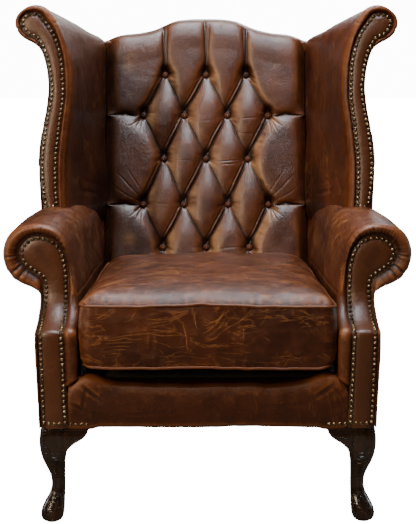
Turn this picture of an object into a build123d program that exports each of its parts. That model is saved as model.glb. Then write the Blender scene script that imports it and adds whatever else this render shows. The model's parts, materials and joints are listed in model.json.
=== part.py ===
from build123d import *
import os, math

# Queen Anne high-back wing armchair, deep-buttoned leather.
# Millimetres, +Z up, -Y is the front of the chair, +X is to the right as seen from the front.
# Origin: on the floor, at the centre of the chair's plan box.
# "d" below is the depth behind the front plane of the base facings; Y = d - Y0.

# ---------------------------------------------------------------- driving dimensions
WIDTH = 860.0            # over the two arm rolls
HEIGHT = 1080.0          # floor to the top of the wing scrolls
D_FRONT = -8.5           # front of the seat cushion's piping
D_REAR = 835.5           # rear of the outside back at its top
Y0 = (D_FRONT + D_REAR) / 2
LEG_H = 206.0            # underside of the seat frame
BACK_SLOPE_OUT = 0.173   # outside back, mm of depth per mm of height
BACK_SLOPE_IN = 0.307    # inside back
BACK_D_SEAT = 560.0      # inside back surface at seat height
BACK_HALF = 248.0        # half width of the buttoned panel
SIDE_TAPER = 0.0716      # the side panels close in towards the back
BASE_HALF = 351.0        # half width of the base at the front
WING_D0, WING_D1 = 290.0, 350.0   # wing front edge, bottom and top
SKIN = 3.0               # leather with its thin wadding
FACING_T = 4.5           # nailed leather strip on its board
NAIL_PITCH = 11.0
NAIL_R = 4.5
NAIL_H = 2.8
BUTTON_R = 8.5
BUTTON_DEEP = 24.0       # button seat below the crest of the pleated surface
GLIDE_T = 2.5
RAIL_T = 25.0
DECK_Z = 328.0
CUSH_Z0, CUSH_Z1 = 329.5, 466.0
CUSH_D0, CUSH_D1 = -5.0, 554.0
CUSH_FRONT_HALF, CUSH_REAR_HALF = 262.0, 244.0
PIPING_R = 3.5

os.makedirs("parts", exist_ok=True)


def P(x, d, z):
    return Vector(x, d - Y0, z)


def d_out(z):                       # outside back plane
    return 690.0 + BACK_SLOPE_OUT * (z - 206.0)


def d_in(z):                        # inside back plane, upright below seat height
    return BACK_D_SEAT + BACK_SLOPE_IN * max(z - 457.0, 0.0)


def d_wing(z):                      # wing front plane
    return WING_D0 + (WING_D1 - WING_D0) * (z - 630.0) / 445.0


def x_side(d):                      # outer face of the left side panel
    return -BASE_HALF + SIDE_TAPER * d


def face(points):
    return Face(Wire.make_polygon(points, close=True))


def prism_x(dz, x0, x1):            # outline in depth/height, extruded across
    return Solid.extrude(face([P(x0, d, z) for d, z in dz]), Vector(x1 - x0, 0, 0))


def prism_y(xz, d0, d1):            # outline in front view, extruded in depth
    return Solid.extrude(face([P(x, d0, z) for x, z in xz]), Vector(0, d1 - d0, 0))


def prism_z(xd, z0, z1):            # plan outline, extruded up
    return Solid.extrude(face([P(x, d, z0) for x, d in xd]), Vector(0, 0, z1 - z0))


def lean_prism(xz, depth, off, t):  # front-view outline lying on a leaning plane
    return Solid.extrude(face([P(x, depth(z) + off, z) for x, z in xz]), Vector(0, t, 0))


def ruled(*sections):
    return Solid.make_loft([Wire.make_polygon(s, close=True) for s in sections], ruled=True)


def box(x0, x1, d0, d1, z0, z1):
    return prism_z([(x0, d0), (x1, d0), (x1, d1), (x0, d1)], z0, z1)


def cyl(a, b, r):
    axis = b - a
    return Solid.make_cylinder(r, axis.length, Plane(origin=a, z_dir=axis))


def offset_line(pts, dist, closed=False):
    """Moves each point along the mean normal to its left by dist."""
    out, n = [], len(pts)
    for i, (x, y) in enumerate(pts):
        if closed:
            a, b = pts[i - 1], pts[(i + 1) % n]
        else:
            a, b = pts[max(i - 1, 0)], pts[min(i + 1, n - 1)]
        n1 = _normal(a, (x, y)) if a != (x, y) else None
        n2 = _normal((x, y), b) if b != (x, y) else None
        n1, n2 = n1 or n2, n2 or n1
        m = (n1[0] + n2[0], n1[1] + n2[1])
        length = math.hypot(*m)
        m = (m[0] / length, m[1] / length)
        c = max(m[0] * n1[0] + m[1] * n1[1], 0.5)
        out.append((x + m[0] * dist / c, y + m[1] * dist / c))
    return out


def _normal(a, b):
    dx, dy = b[0] - a[0], b[1] - a[1]
    length = math.hypot(dx, dy)
    return (-dy / length, dx / length)


def one(shape):
    """The solid or compound left after a cut, as plain solids."""
    solids = shape.solids()
    return solids[0] if len(solids) == 1 else Compound(children=list(solids))


def cut(a, *tools):
    for t in tools:
        a = a - t
    return one(a)


def both(name, shape):
    """Writes the left-hand piece and its mirror image."""
    save("left_" + name, shape)
    save("right_" + name, mirror_x(shape))


def mirror_x(shape):
    parts = [s.mirror(Plane.YZ) for s in shape.solids()]
    return parts[0] if len(parts) == 1 else Compound(children=parts)


def save(name, shape):
    solids = list(shape.solids())
    export_step(solids[0] if len(solids) == 1 else Compound(children=solids), f"parts/{name}.step")


# ---------------------------------------------------------------- measured outlines (left side, front view)
ARM_NAILS_OUT = [(-338.2, 219.6), (-340.0, 300.0), (-341.9, 398.7), (-342.6, 407.4), (-341.6, 430.0),
                 (-340.0, 455.0), (-339.4, 476.0), (-339.9, 494.0), (-343.0, 504.3), (-350.6, 512.6), (-359.1, 518.1),
                 (-368.3, 524.1), (-376.5, 530.7), (-383.7, 538.6), (-388.0, 548.1), (-389.5, 558.3),
                 (-385.9, 568.6), (-379.8, 576.9), (-372.4, 583.4), (-363.9, 587.2), (-354.1, 588.7),
                 (-344.1, 587.8), (-334.4, 584.8), (-324.9, 580.2), (-317.1, 572.8), (-310.0, 563.5),
                 (-306.2, 554.6), (-303.3, 543.3), (-301.0, 532.1), (-299.5, 521.2), (-299.1, 510.4),
                 (-298.9, 488.4), (-298.3, 466.2), (-299.4, 430.0), (-299.8, 407.0), (-298.5, 371.0),
                 (-296.4, 283.0), (-294.0, 217.0)]
# side profile of the arm facing: upright, swept back, then upright again (depth, height)
S_CURVE = [(0, 206.5), (0, 300), (0, 403), (1.5, 407), (6, 409.5), (16, 412), (30, 415.5), (45, 421), (60, 429),
           (73, 439), (84, 451), (91, 463), (95, 477), (96, 500), (96, 560), (96, 600)]
ARM_ROLL = [(-353.0, 474.0), (-369.0, 484.0), (-391.0, 492.5), (-404.3, 500.0), (-418.5, 516.0), (-426.0, 534.0),
            (-430.0, 554.0), (-428.3, 570.0), (-421.5, 588.0), (-409.5, 603.0), (-395.0, 612.5), (-375.0, 618.5),
            (-352.0, 620.5), (-330.0, 614.5), (-310.0, 600.0), (-296.0, 578.0), (-288.0, 552.0), (-284.5, 520.0),
            (-283.0, 480.0), (-283.0, 400.0), (-283.0, 302.0)]
ARM_CORE = [(-303.0, 302.0), (-303.0, 465.0), (-328.0, 466.0)]
WING_NAILS = [(-337.8, 640.0), (-339.0, 658.6), (-339.8, 691.4), (-339.6, 729.9), (-335.6, 772.8), (-330.9, 812.9),
              (-324.0, 862.3), (-322.4, 882.4), (-322.5, 902.9), (-323.1, 923.2), (-324.3, 943.0), (-327.4, 962.9),
              (-332.2, 982.2), (-338.3, 1001.0), (-346.7, 1019.0), (-358.4, 1036.1), (-364.9, 1044.3),
              (-370.8, 1052.4), (-379.3, 1055.9), (-389.1, 1056.8), (-398.2, 1055.3), (-404.7, 1050.6),
              (-409.4, 1043.6), (-409.5, 1034.6), (-406.4, 1025.8), (-399.8, 1017.7), (-393.3, 1012.4),
              (-383.5, 1008.6), (-376.2, 1003.4), (-365.1, 986.9), (-357.9, 967.5), (-352.8, 948.5),
              (-349.1, 928.9), (-347.2, 909.1), (-346.2, 889.0), (-350.2, 855.7), (-359.3, 809.8),
              (-365.6, 770.0), (-368.7, 729.9), (-368.0, 692.7), (-365.2, 660.2), (-361.8, 640.0)]
WING_OUT = [(-372.3, 624.0), (-374.3, 675.0), (-374.8, 713.8), (-373.0, 749.2), (-368.4, 790.5), (-362.1, 829.0),
            (-356.1, 870.5), (-353.8, 900.1), (-355.8, 929.6), (-363.0, 962.0), (-376.3, 987.1)]
WING_SCROLL = [(-386.7, 993.0), (-404.7, 1001.8), (-419.6, 1015.0), (-426.9, 1029.8), (-426.8, 1047.6),
               (-416.2, 1063.6), (-398.3, 1076.0), (-381.8, HEIGHT), (-362.5, 1076.0)]
WING_IN = [(-343.0, 1063.0), (-330.0, 1040.0), (-321.0, 1015.0), (-314.0, 985.0), (-308.5, 950.0), (-306.5, 905.0),
           (-308.5, 862.0), (-315.0, 813.0), (-319.6, 773.0), (-324.0, 730.0), (-324.0, 690.0), (-323.0, 655.0),
           (-321.0, 624.0)]
SEAM_SCROLL = [(-313.0, 985.0), (-318.0, 990.0), (-323.0, 997.0), (-325.0, 1004.0), (-324.0, 1011.0),
               (-318.0, 1017.0), (-307.0, 1021.0), (-295.0, 1021.0), (-283.0, 1018.5)]
SEAM_IN = [(-271.0, 1015.0), (-263.0, 1009.0), (-259.5, 1000.0), (-257.5, 985.0), (-256.5, 950.0), (-256.0, 905.0),
           (-256.0, 862.0), (-255.5, 813.0), (-255.0, 773.0), (-253.5, 730.0), (-252.0, 690.0), (-250.8, 655.0),
           (-249.5, 624.0)]
REAR_SCROLL = [(-299.0, 987.0), (-302.0, 992.0), (-304.0, 997.0), (-304.5, 1002.0), (-303.0, 1007.0),
               (-299.0, 1010.5), (-292.0, 1013.0), (-284.0, 1013.5), (-276.0, 1013.0)]
REAR_IN = [(-268.0, 1011.0), (-261.0, 1006.0), (-256.5, 1000.0), (-253.5, 985.0), (-252.0, 950.0), (-251.5, 905.0),
           (-251.5, 862.0), (-251.0, 813.0), (-251.0, 773.0), (-250.8, 730.0), (-250.6, 690.0), (-250.4, 655.0),
           (-250.2, 624.0)]
BACK_TOP = [(-248.0, 1013.5), (-219.5, 1017.5), (-168.3, 1022.0), (-129.8, 1031.0), (-104.2, 1042.5), (-78.5, 1052.5),
            (-52.9, 1056.6), (0.0, 1059.0), (52.9, 1056.6), (78.5, 1052.5), (104.2, 1042.5), (129.8, 1031.0),
            (168.3, 1022.0), (219.5, 1017.5), (248.0, 1013.5)]
# button centres on the inside back (x, height), rows of 3, 4, 3, 4, 3
BUTTONS = [(x, z) for z, row in ((925.5, (-103.5, 1.0, 103.5)), (824.0, (-158.5, -54.5, 54.5, 158.5)),
                                 (716.0, (-106.5, 0.5, 106.5)), (604.0, (-158.0, -55.5, 55.5, 158.0)),
                                 (500.0, (-108.5, 0.5, 108.5))) for x in row]

# ---------------------------------------------------------------- seat frame
front_rail = box(-302.5, 302.5, 14, 42, 212, 280)
back_rail = box(-249.7, 249.7, 650, 686, 212, 280)
side_rail = prism_z([(x_side(38.3) + 5, 38.3), (x_side(648) + 5, 648), (x_side(648) + 5 + RAIL_T, 648),
                     (x_side(38.3) + 5 + RAIL_T, 38.3)], 212, 285)
save("front_seat_rail", front_rail)
save("back_seat_rail", back_rail)
both("seat_rail", side_rail)

front_block = prism_z([(-317.3, 42.3), (-250, 42.3), (-312.8, 108)], 214, 268)
rear_block = prism_z([(-274.3, 647.7), (-212, 647.7), (-278.9, 585)], 214, 268)
blocks = [front_block, rear_block, *mirror_x(front_block).solids(), *mirror_x(rear_block).solids()]
save("corner_blocks", Compound(children=blocks))

# ---------------------------------------------------------------- back frame
back_post = prism_x([(d_out(z) - o, z) for z, o in ((209, 42), (1000, 42), (1000, 4), (209, 4))], -288, -250)
both("back_post", back_post)
top_rail_xz = [(x, z - 24) for x, z in BACK_TOP] + [(248, 950), (-248, 950)]
top_rail = lean_prism(top_rail_xz, d_out, -42, 38)
save("back_top_rail", top_rail)
tack_rail = lean_prism([(-249.7, 395), (249.7, 395), (249.7, 440), (-249.7, 440)], d_out, -42, 30)
save("back_tack_rail", tack_rail)
straps = [lean_prism([(-282, z - 25), (282, z - 25), (282, z + 25), (-282, z + 25)], d_out, -43.6, 1.4)
          for z in (662, 747, 832, 917)]
straps += [lean_prism([(x - 25, 398), (x + 25, 398), (x + 25, 974), (x - 25, 974)], d_out, -45.2, 1.4)
           for x in (-150, -50, 50, 150)]
save("back_webbing", Compound(children=straps))

# ---------------------------------------------------------------- arm frame
facing_xz = offset_line(ARM_NAILS_OUT, 5.8)
facing_xz[0], facing_xz[-1] = (-345.0, 206.5), (-288.6, 206.5)
facing_xz.insert(1, (-345.2, 219.6))
facing_xz.insert(-1, (-288.8, 217.0))
s_back = offset_line(S_CURVE, -FACING_T)
facing = prism_x(S_CURVE + s_back[::-1], -440, -280) & prism_y(facing_xz, -20, 140)
facing = one(facing)
both("arm_facing", facing)

post_xz = [(x + 5.5, z) if z < 495 and x < -320 else (x, z) for x, z in offset_line(ARM_NAILS_OUT, 2.5)]
post_xz[0], post_xz[-1] = (-338.0, 209.0), (-303.0, 209.0)
post_xz[-2] = (-303.0, 283.0)
post_xz[-3] = (-303.0, 371.0)
post_front = offset_line(S_CURVE, -FACING_T - 0.2)
post_front[0] = (FACING_T + 0.2, 209.0)
post_rear = [(130, 600), (130, 490), (127, 462), (112, 432), (90, 410), (62, 394), (38, 384), (38, 209)]
arm_post = one(prism_x(post_front + post_rear, -440, -280) & prism_y(post_xz, 0, 140))
both("arm_post", arm_post)

arm_rail = prism_z([(-362, 130.3), (-322, 130.3), (-260, 700), (-287, 700)], 535, 560)
both("arm_rail", arm_rail)

# ---------------------------------------------------------------- wing frame
wing_post_xz = offset_line(WING_NAILS, -2.5)
wing_post_xz = [(x + 7.0, z) if i > 29 and z < 1000 else (x, z) for i, (x, z) in enumerate(wing_post_xz)]
wing_post_xz[0], wing_post_xz[-1] = (-335.5, 628.0), (-357.0, 628.0)
wing_post = lean_prism(wing_post_xz, d_wing, 1.2, 22)
wing_foot = box(-356, -338, 296, 310, 560.3, 634)
wing_post = one(wing_post + wing_foot)
both("wing_post", wing_post)
dr = d_out(950) - 42.5
wing_rail = ruled([P(-360, 366.5, 984), (P(-342, 366.5, 984)), P(-342, 366.5, 1014), P(-360, 366.5, 1014)],
                  [P(-287, dr, 950), P(-265, dr, 950), P(-265, dr, 978), P(-287, dr, 978)])
both("wing_rail", wing_rail)

wing_facing = lean_prism(offset_line(WING_NAILS, 0.0), d_wing, -4.0, FACING_T)
wf_xz = offset_line(WING_NAILS, -5.8)
wf_xz = offset_line(WING_NAILS, 5.8) if abs(wf_xz[10][0]) > abs(WING_NAILS[10][0]) else wf_xz
wf_xz[0], wf_xz[-1] = (-331.8, 628.0), (-367.5, 628.0)
wing_facing = lean_prism(wf_xz, d_wing, -4.0, FACING_T)
both("wing_facing", wing_facing)

# ---------------------------------------------------------------- arm upholstery
K_REAR = (x_side(750) + 250.0) / (-353.0 + 283.0)


def arm_rear(pt):
    return (-250.0 + K_REAR * (pt[0] + 283.0), pt[1])


def arm_loft(xz, d0=100.8):
    front = [P(x, d0, z) for x, z in xz]
    rear = [P(x, d_out(z) - 5, z) for x, z in (arm_rear(p) for p in xz)]
    return ruled(front, rear)


arm_inner = offset_line(ARM_ROLL, -SKIN)
if abs(arm_inner[6][0]) > abs(ARM_ROLL[6][0]):
    arm_inner = offset_line(ARM_ROLL, SKIN)
arm_pad_line = offset_line(ARM_ROLL, (SKIN + 0.3) * (1 if arm_inner[6] == offset_line(ARM_ROLL, SKIN)[6] else -1))
tongue_line = [(d + 6, z) for d, z in S_CURVE if 409 <= z <= 463]
tongue = [(8, 302), (8, 403)] + tongue_line + [(100.2, 466), (100.2, 302)]
arm_skin = cut(arm_loft(ARM_ROLL + arm_inner[::-1]), back_post, wing_post)
both("inside_arm_cover", Compound(children=[*arm_skin.solids(), prism_x(tongue, -286.0, -283.0)]))
arm_pad = arm_loft(arm_pad_line + ARM_CORE)
arm_pad = cut(arm_pad, arm_post, arm_rail, back_post, wing_post)
tongue_pad = cut(prism_x(tongue, -302.0, -286.4), arm_post, facing)
both("arm_padding", Compound(children=list(arm_pad.solids()) + list(tongue_pad.solids())))

side_dir = Vector(SIDE_TAPER, 1, 0).normalized()
side_line = [(d + 5, z) for d, z in S_CURVE if z <= 463] + [(100, 470)]
side_panel = [P(x_side(d), d, z) for d, z in side_line]
side_panel += [P(x_side(d_out(z) - 3.8), d_out(z) - 3.8, z) for z in (470, 206.5)]
side_cover = Solid.extrude(face(side_panel), Vector(SKIN, 0, 0))
both("outside_arm_cover", cut(side_cover, facing))

# ---------------------------------------------------------------- wing upholstery
O_SEAM, O_REAR = [], []
for x, z in WING_OUT:
    t = (d_in(z) + 6 - d_wing(z)) / (d_out(z) - 46.5 - d_wing(z))
    O_REAR.append((-294.5, z))
    O_SEAM.append((x + (-294.5 - x) * t, z))


def wing_loft(front, seam, rear, rear_off=46.5):
    return ruled([P(x, d_wing(z) + 0.8, z) for x, z in front], [P(x, d_seam(z), z) for x, z in seam],
                 [P(x, d_out(z) - rear_off, z) for x, z in rear])


def d_seam(z):
    return BACK_D_SEAT + BACK_SLOPE_IN * (z - 457.0) + 6.0


def shift(line, s):
    return [(x + s, z) for x, z in line]


def inward(line, dist):
    a = offset_line(line, dist)
    b = offset_line(line, -dist)
    mid = len(line) // 2
    centre = (sum(p[0] for p in line) / len(line), sum(p[1] for p in line) / len(line))
    return a if math.dist(a[mid], centre) < math.dist(b[mid], centre) else b


OUT3 = [shift(l, SKIN) for l in (WING_OUT, O_SEAM, O_REAR)]
out_cover = ruled(*[[P(x, f(z) + o, z) for x, z in a + b[::-1]]
                    for a, b, f, o in ((WING_OUT, OUT3[0], d_wing, 0.8), (O_SEAM, OUT3[1], d_seam, 0),
                                       (O_REAR, OUT3[2], d_out, -3.8))])
both("outside_wing_cover", out_cover)
lines = [(WING_OUT, WING_SCROLL, WING_IN), (O_SEAM, SEAM_SCROLL, SEAM_IN), (O_REAR, REAR_SCROLL, REAR_IN)]
skins, pads = [], []
for o, s, i in lines:
    line = s + i
    inner = offset_line(line, -SKIN)
    pad = offset_line(line, -SKIN - 0.3)
    skins.append(line + inner[::-1])
    pads.append(shift(o[:-1], SKIN + 0.3) + [(o[-1][0] + SKIN + 0.6, o[-1][1])] + pad)
wing_skin = wing_loft(*skins)
both("inside_wing_cover", wing_skin)
wing_pad = cut(wing_loft(*pads), wing_post, wing_rail)
both("wing_padding", wing_pad)

# ---------------------------------------------------------------- nails
nail_profile = [(0, 0), (0, NAIL_H), (1.6, NAIL_H - 0.25), (3.1, NAIL_H - 1.0), (4.1, NAIL_H - 2.0), (NAIL_R, 0.2),
                (NAIL_R, 0)]
R_CAP = (NAIL_R ** 2 + NAIL_H ** 2) / (2 * NAIL_H)
cap = Solid.make_sphere(R_CAP, Plane(origin=(0, 0, NAIL_H - R_CAP))) & Solid.make_box(20, 20, 10, Plane(origin=(-10, -10, 0)))
nail = one(one(cap) + Solid.make_cylinder(0.9, 13.1, Plane(origin=(0, 0, -13))))


def s_frame(z):
    """Depth and outward direction (depth, height) of the arm facing at a height."""
    for (d0, z0), (d1, z1) in zip(S_CURVE, S_CURVE[1:]):
        if z0 <= z <= z1:
            t = (z - z0) / (z1 - z0)
            length = math.hypot(d1 - d0, z1 - z0)
            return d0 + t * (d1 - d0), (-(z1 - z0) / length, (d1 - d0) / length)
    return 96.0, (-1.0, 0.0)


def resample(points, pitch):
    """Evenly spaced points along a 3-D line, at the pitch nearest to the one given."""
    lengths = [0.0]
    for a, b in zip(points, points[1:]):
        lengths.append(lengths[-1] + math.dist(a, b))
    count = max(1, round(lengths[-1] / pitch))
    out, k = [], 0
    for i in range(count + 1):
        s = lengths[-1] * i / count
        while k < len(lengths) - 2 and lengths[k + 1] < s:
            k += 1
        t = (s - lengths[k]) / (lengths[k + 1] - lengths[k])
        out.append(tuple(a + t * (b - a) for a, b in zip(points[k], points[k + 1])))
    return out


def dense(line, step=2.0):
    out = []
    for (x0, z0), (x1, z1) in zip(line, line[1:]):
        n = max(1, int(math.hypot(x1 - x0, z1 - z0) / step))
        out += [(x0 + (x1 - x0) * i / n, z0 + (z1 - z0) * i / n) for i in range(n)]
    return out + [line[-1]]


arm_path = [(x, s_frame(z)[0], z) for x, z in dense(ARM_NAILS_OUT)]
arm_nails = []
for x, d, z in resample(arm_path, NAIL_PITCH):
    nd, nz = s_frame(z)[1]
    arm_nails.append(nail.moved(Location(Plane(origin=P(x, d, z), z_dir=(0, nd, nz)))))
for x in (-327.5, -316.5, -305.5):
    arm_nails.append(nail.moved(Location(Plane(origin=P(x, 0, 217.5), z_dir=(0, -1, 0)))))
for x in (-283.0, -272.0, -261.0, -250.6):
    arm_nails.append(nail.moved(Location(Plane(origin=P(x, 2.0, 215.0), z_dir=(0, -1, 0)))))
both("arm_nails", Compound(children=arm_nails))

lean = math.atan((WING_D1 - WING_D0) / 445.0)
wing_path = [(x, d_wing(z) - 4.0, z) for x, z in dense(WING_NAILS)]
wing_nails = [nail.moved(Location(Plane(origin=P(x, d, z), z_dir=(0, -math.cos(lean), math.sin(lean)))))
              for x, d, z in resample(wing_path, NAIL_PITCH)]
both("wing_nails", Compound(children=wing_nails))

# ---------------------------------------------------------------- front border
border_dz = [(2, 206.5), (2, 286), (3, 291), (6, 295), (11, 297), (62, 297), (62, 291), (13, 291), (13, 206.5)]
save("front_border", prism_x(border_dz, -287.5, 287.5))

# ---------------------------------------------------------------- seat springs and deck
springs, clips = [], []
for x0 in (-208, -104, 0, 104, 208):
    pts, s = [], 1
    pts.append((x0 - 14, 32))
    pts.append((x0 + 22, 32))
    d = 32
    while d < 640:
        d += 21.7142857
        pts.append((x0 + 22 * s, d))
        pts.append((x0 - 22 * s, d))
        s = -s
        if d > 650:
            break
    pts[-1] = (x0 + (14 if pts[-1][0] > x0 else -14), pts[-1][1])
    line = FilletPolyline(*[P(x, dd, 284.2) for x, dd in pts], radius=8.0)
    springs.append(sweep(Plane(origin=line @ 0, z_dir=line % 0) * Circle(1.8), path=line).solids()[0])
    for at, sgn in ((32, 1), (pts[-1][1], -1)):
        c = [(at - 8 * sgn, 280.2), (at + 8 * sgn, 280.2), (at + 8 * sgn, 282.0), (at - 4 * sgn, 282.0),
             (at - 4 * sgn, 286.4), (at + 6 * sgn, 286.4), (at + 6 * sgn, 288.0), (at - 8 * sgn, 288.0)]
        clips.append(prism_x(c, x0 - 9, x0 + 9))
save("seat_springs", Compound(children=springs))
save("spring_clips", Compound(children=clips))

deck_dz = [(64, 291.5), (64, 297.5), (84, 317), (100, DECK_Z), (556, DECK_Z), (600, 326), (640, 300), (632, 292),
           (596, 314), (556, 316), (106, 316), (90, 306), (72, 291.5)]
deck = prism_x(deck_dz, -300, 300) & prism_z([(-278, 60), (278, 60), (254, 560), (240, 645), (-240, 645),
                                              (-254, 560)], 280, 340)
save("seat_deck", one(deck))

dust = prism_z([(x_side(6) + 4, 13.6), (-x_side(6) - 4, 13.6), (-x_side(684) - 4, 684), (x_side(684) + 4, 684)], 206.6, 208.6)
notch = [box(-352, -250, -5, 56, 200, 212), box(-352, -312, -5, 106, 200, 212), box(-296, -246, 636, 692, 200, 212)]
dust = cut(dust, *notch, *[mirror_x(n) for n in notch])
save("dust_cover", dust)

# ---------------------------------------------------------------- back upholstery
def back_profile(o):
    """Depth/height outline of the stuffed back, drawn in by o."""
    front = [(d_in(330) + o, 332), (d_in(457) + o, 457), (d_in(1000) + o, 1000), (d_in(1026) + 1.5 + o, 1026),
             (744 + o, 1044 - o * 0.7), (754 + o * 0.6, 1054 - o), (768, 1060 - o), (798, 1060 - o), (815, 1055 - o),
             (826 - o * 0.6, 1046 - o)]
    rear = [(d_out(1030) - 4 - o * 0.1, 1030), (d_out(976) - 4 - o * 0.1, 976), (d_out(976) - 46, 976),
            (d_out(332) - 46, 332)]
    return front + rear


def back_outline(o):
    return [(x * (BACK_HALF - o) / BACK_HALF, z - o) for x, z in BACK_TOP] + [(BACK_HALF - o, 330), (o - BACK_HALF, 330)]


tilt = math.atan(BACK_SLOPE_IN)
n_in = Vector(0, -math.cos(tilt), math.sin(tilt))    # out of the inside back, towards the sitter


def dimples(r0, r1, depth, lift=4.0):
    out = []
    for x, z in BUTTONS:
        base = P(x, d_in(z), z) - n_in * depth
        h = depth + lift
        out.append(Solid.make_cone(r1, r1 + (r0 - r1) * h / depth, h, Plane(origin=base, z_dir=n_in)))
    return out


back_full = one(prism_x(back_profile(0), -260, 260) & prism_y(back_outline(0), 500, 900))
back_full = cut(back_full, *dimples(21, 9.2, BUTTON_DEEP))
back_pad = one(prism_x(back_profile(SKIN), -260, 260) & prism_y(back_outline(SKIN), 500, 900))
back_pad = cut(back_pad, *dimples(25, 12.6, BUTTON_DEEP + SKIN))
frame_cut = [top_rail, tack_rail]
back_skin = cut(back_full, back_pad, *frame_cut)
skin_solids = sorted(back_skin.solids(), key=lambda s: s.volume)
back_pad = cut(back_pad, *frame_cut)
save("back_padding", back_pad)
save("inside_back_cover", skin_solids[-1])

R_B = (BUTTON_R ** 2 + 5.0 ** 2) / (2 * 5.0)
dome = one(Solid.make_sphere(R_B, Plane(origin=(0, 0, 6.5 - R_B))) & Solid.make_cylinder(BUTTON_R, 8, Plane(origin=(0, 0, 0.2))))
buttons = []
for x, z in BUTTONS:
    at = P(x, d_in(z), z) - n_in * BUTTON_DEEP
    buttons.append(dome.moved(Location(Plane(origin=at, z_dir=n_in))))
save("back_buttons", Compound(children=buttons))

top_cover = [(x * 290.5 / 248.0 if abs(x) > 200 else x, z - 12) for x, z in BACK_TOP]
out_xz = [(-301.0, 206.6), (301.0, 206.6), (291.5, 990), *top_cover[::-1], (-291.5, 990)]
save("outside_back_cover", lean_prism(out_xz, d_out, -3.4, 3.4))

# ---------------------------------------------------------------- front legs (cabriole), brackets, back legs
# height, outer edge, inner edge: the same profile on the front and on the side
LEG = [(GLIDE_T, 344.0, 311.0, 0.49), (5.5, 348.6, 306.5, 0.49), (11.0, 350.2, 303.8, 0.49), (17.0, 350.0, 302.4, 0.48),
       (27.6, 346.8, 301.2, 0.46), (45.2, 337.6, 300.7, 0.42), (65.0, 329.3, 300.2, 0.38), (80.0, 327.3, 300.0, 0.36),
       (100.0, 330.0, 300.2, 0.33), (124.0, 338.4, 300.0, 0.26), (150.0, 345.8, 298.5, 0.20), (174.0, 348.4, 297.6, 0.16),
       (192.0, 347.0, 297.2, 0.14), (208.7, 344.4, 297.0, 0.13)]
secs = []
for z, outer, inner, rr in LEG:
    w = outer - inner
    cx, cd = -(outer + inner) / 2, BASE_HALF - (outer + inner) / 2
    secs.append(Plane(origin=P(cx, cd, z), x_dir=(1, 0, 0), z_dir=(0, 0, 1)) * RectangleRounded(w, w, w * rr))
front_leg = loft(secs).solids()[0]
both("front_leg", front_leg)

BR = [(0, 0), (48.6, 0), (48.8, 5.5), (44.0, 17), (37.0, 27), (22.0, 36.5), (9.0, 45.5), (1.5, 54.0), (0, 57.0)]
side_br = prism_y([(-296.6 + a, 206.0 - b) for a, b in BR], 2, 36)
rear_br = prism_x([(54.4 + a, 206.0 - b) for a, b in BR], -343.5, -315)
brs = [side_br, rear_br, *mirror_x(side_br).solids(), *mirror_x(rear_br).solids()]
save("knee_brackets", Compound(children=brs))

BLEG = [(GLIDE_T, -279.0, 721.0, 15.5), (40.0, -277.5, 708.0, 16.5), (80.0, -276.0, 694.0, 17.5), (120.0, -274.3, 681.5, 19.0),
        (160.0, -272.5, 672.5, 20.5), (206.3, -270.5, 667.0, 22.0)]
back_leg = loft([Plane(origin=P(x, d, z), x_dir=(1, 0, 0), z_dir=(0, 0, 1)) * RectangleRounded(2 * h, 2 * h, 3.0)
                 for z, x, d, h in BLEG]).solids()[0]
both("back_leg", back_leg)

feet = [(-327.5, BASE_HALF - 327.5, 14.0), (-279.0, 721.0, 12.5)]
glides = []
for x, d, r in feet:
    g = Solid.make_cylinder(r, GLIDE_T - 0.05, Plane(origin=P(x, d, 0)))
    glides += [g, *mirror_x(g).solids()]
save("foot_glides", Compound(children=glides))

bolts = []
for x, d in ((-323.0, 24.0), (-270.5, 668.0)):
    b = cyl(P(x, d, 150), P(x, d, 255), 4.0)
    bolts += [b, *mirror_x(b).solids()]
save("leg_bolts", Compound(children=bolts))

screws = []
for a, b in ((P(-300, 55, 232), P(-300, 20, 232)), (P(-300, 62, 252), P(-336, 62, 252)),
             (P(-262, 636, 232), P(-262, 672, 232)), (P(-268, 624, 252), P(-300, 624, 252))):
    s = one(cyl(a, b, 2.2) + cyl(a - (b - a).normalized() * 2.5, a + (b - a).normalized() * 0.5, 4.2))
    screws += [s, *mirror_x(s).solids()]
save("frame_screws", Compound(children=screws))

# ---------------------------------------------------------------- loose seat cushion
def cushion_plan(o):
    return [(-CUSH_FRONT_HALF + o + 10, CUSH_D0 + o), (CUSH_FRONT_HALF - o - 10, CUSH_D0 + o),
            (CUSH_FRONT_HALF - o, CUSH_D0 + o + 12), (CUSH_REAR_HALF - o, CUSH_D1 - o - 12),
            (CUSH_REAR_HALF - o - 10, CUSH_D1 - o), (-CUSH_REAR_HALF + o + 10, CUSH_D1 - o),
            (-CUSH_REAR_HALF + o, CUSH_D1 - o - 12), (-CUSH_FRONT_HALF + o, CUSH_D0 + o + 12)]


def cushion(o):
    return ruled(*[[P(x, d, z) for x, d in cushion_plan(i)] for i, z in
                   ((o, CUSH_Z0 + o), (o, CUSH_Z1 - o), (35 + o, 483 - o), (80 + o, 492.5 - o), (150 + o, 498.5 - o))])


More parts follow.
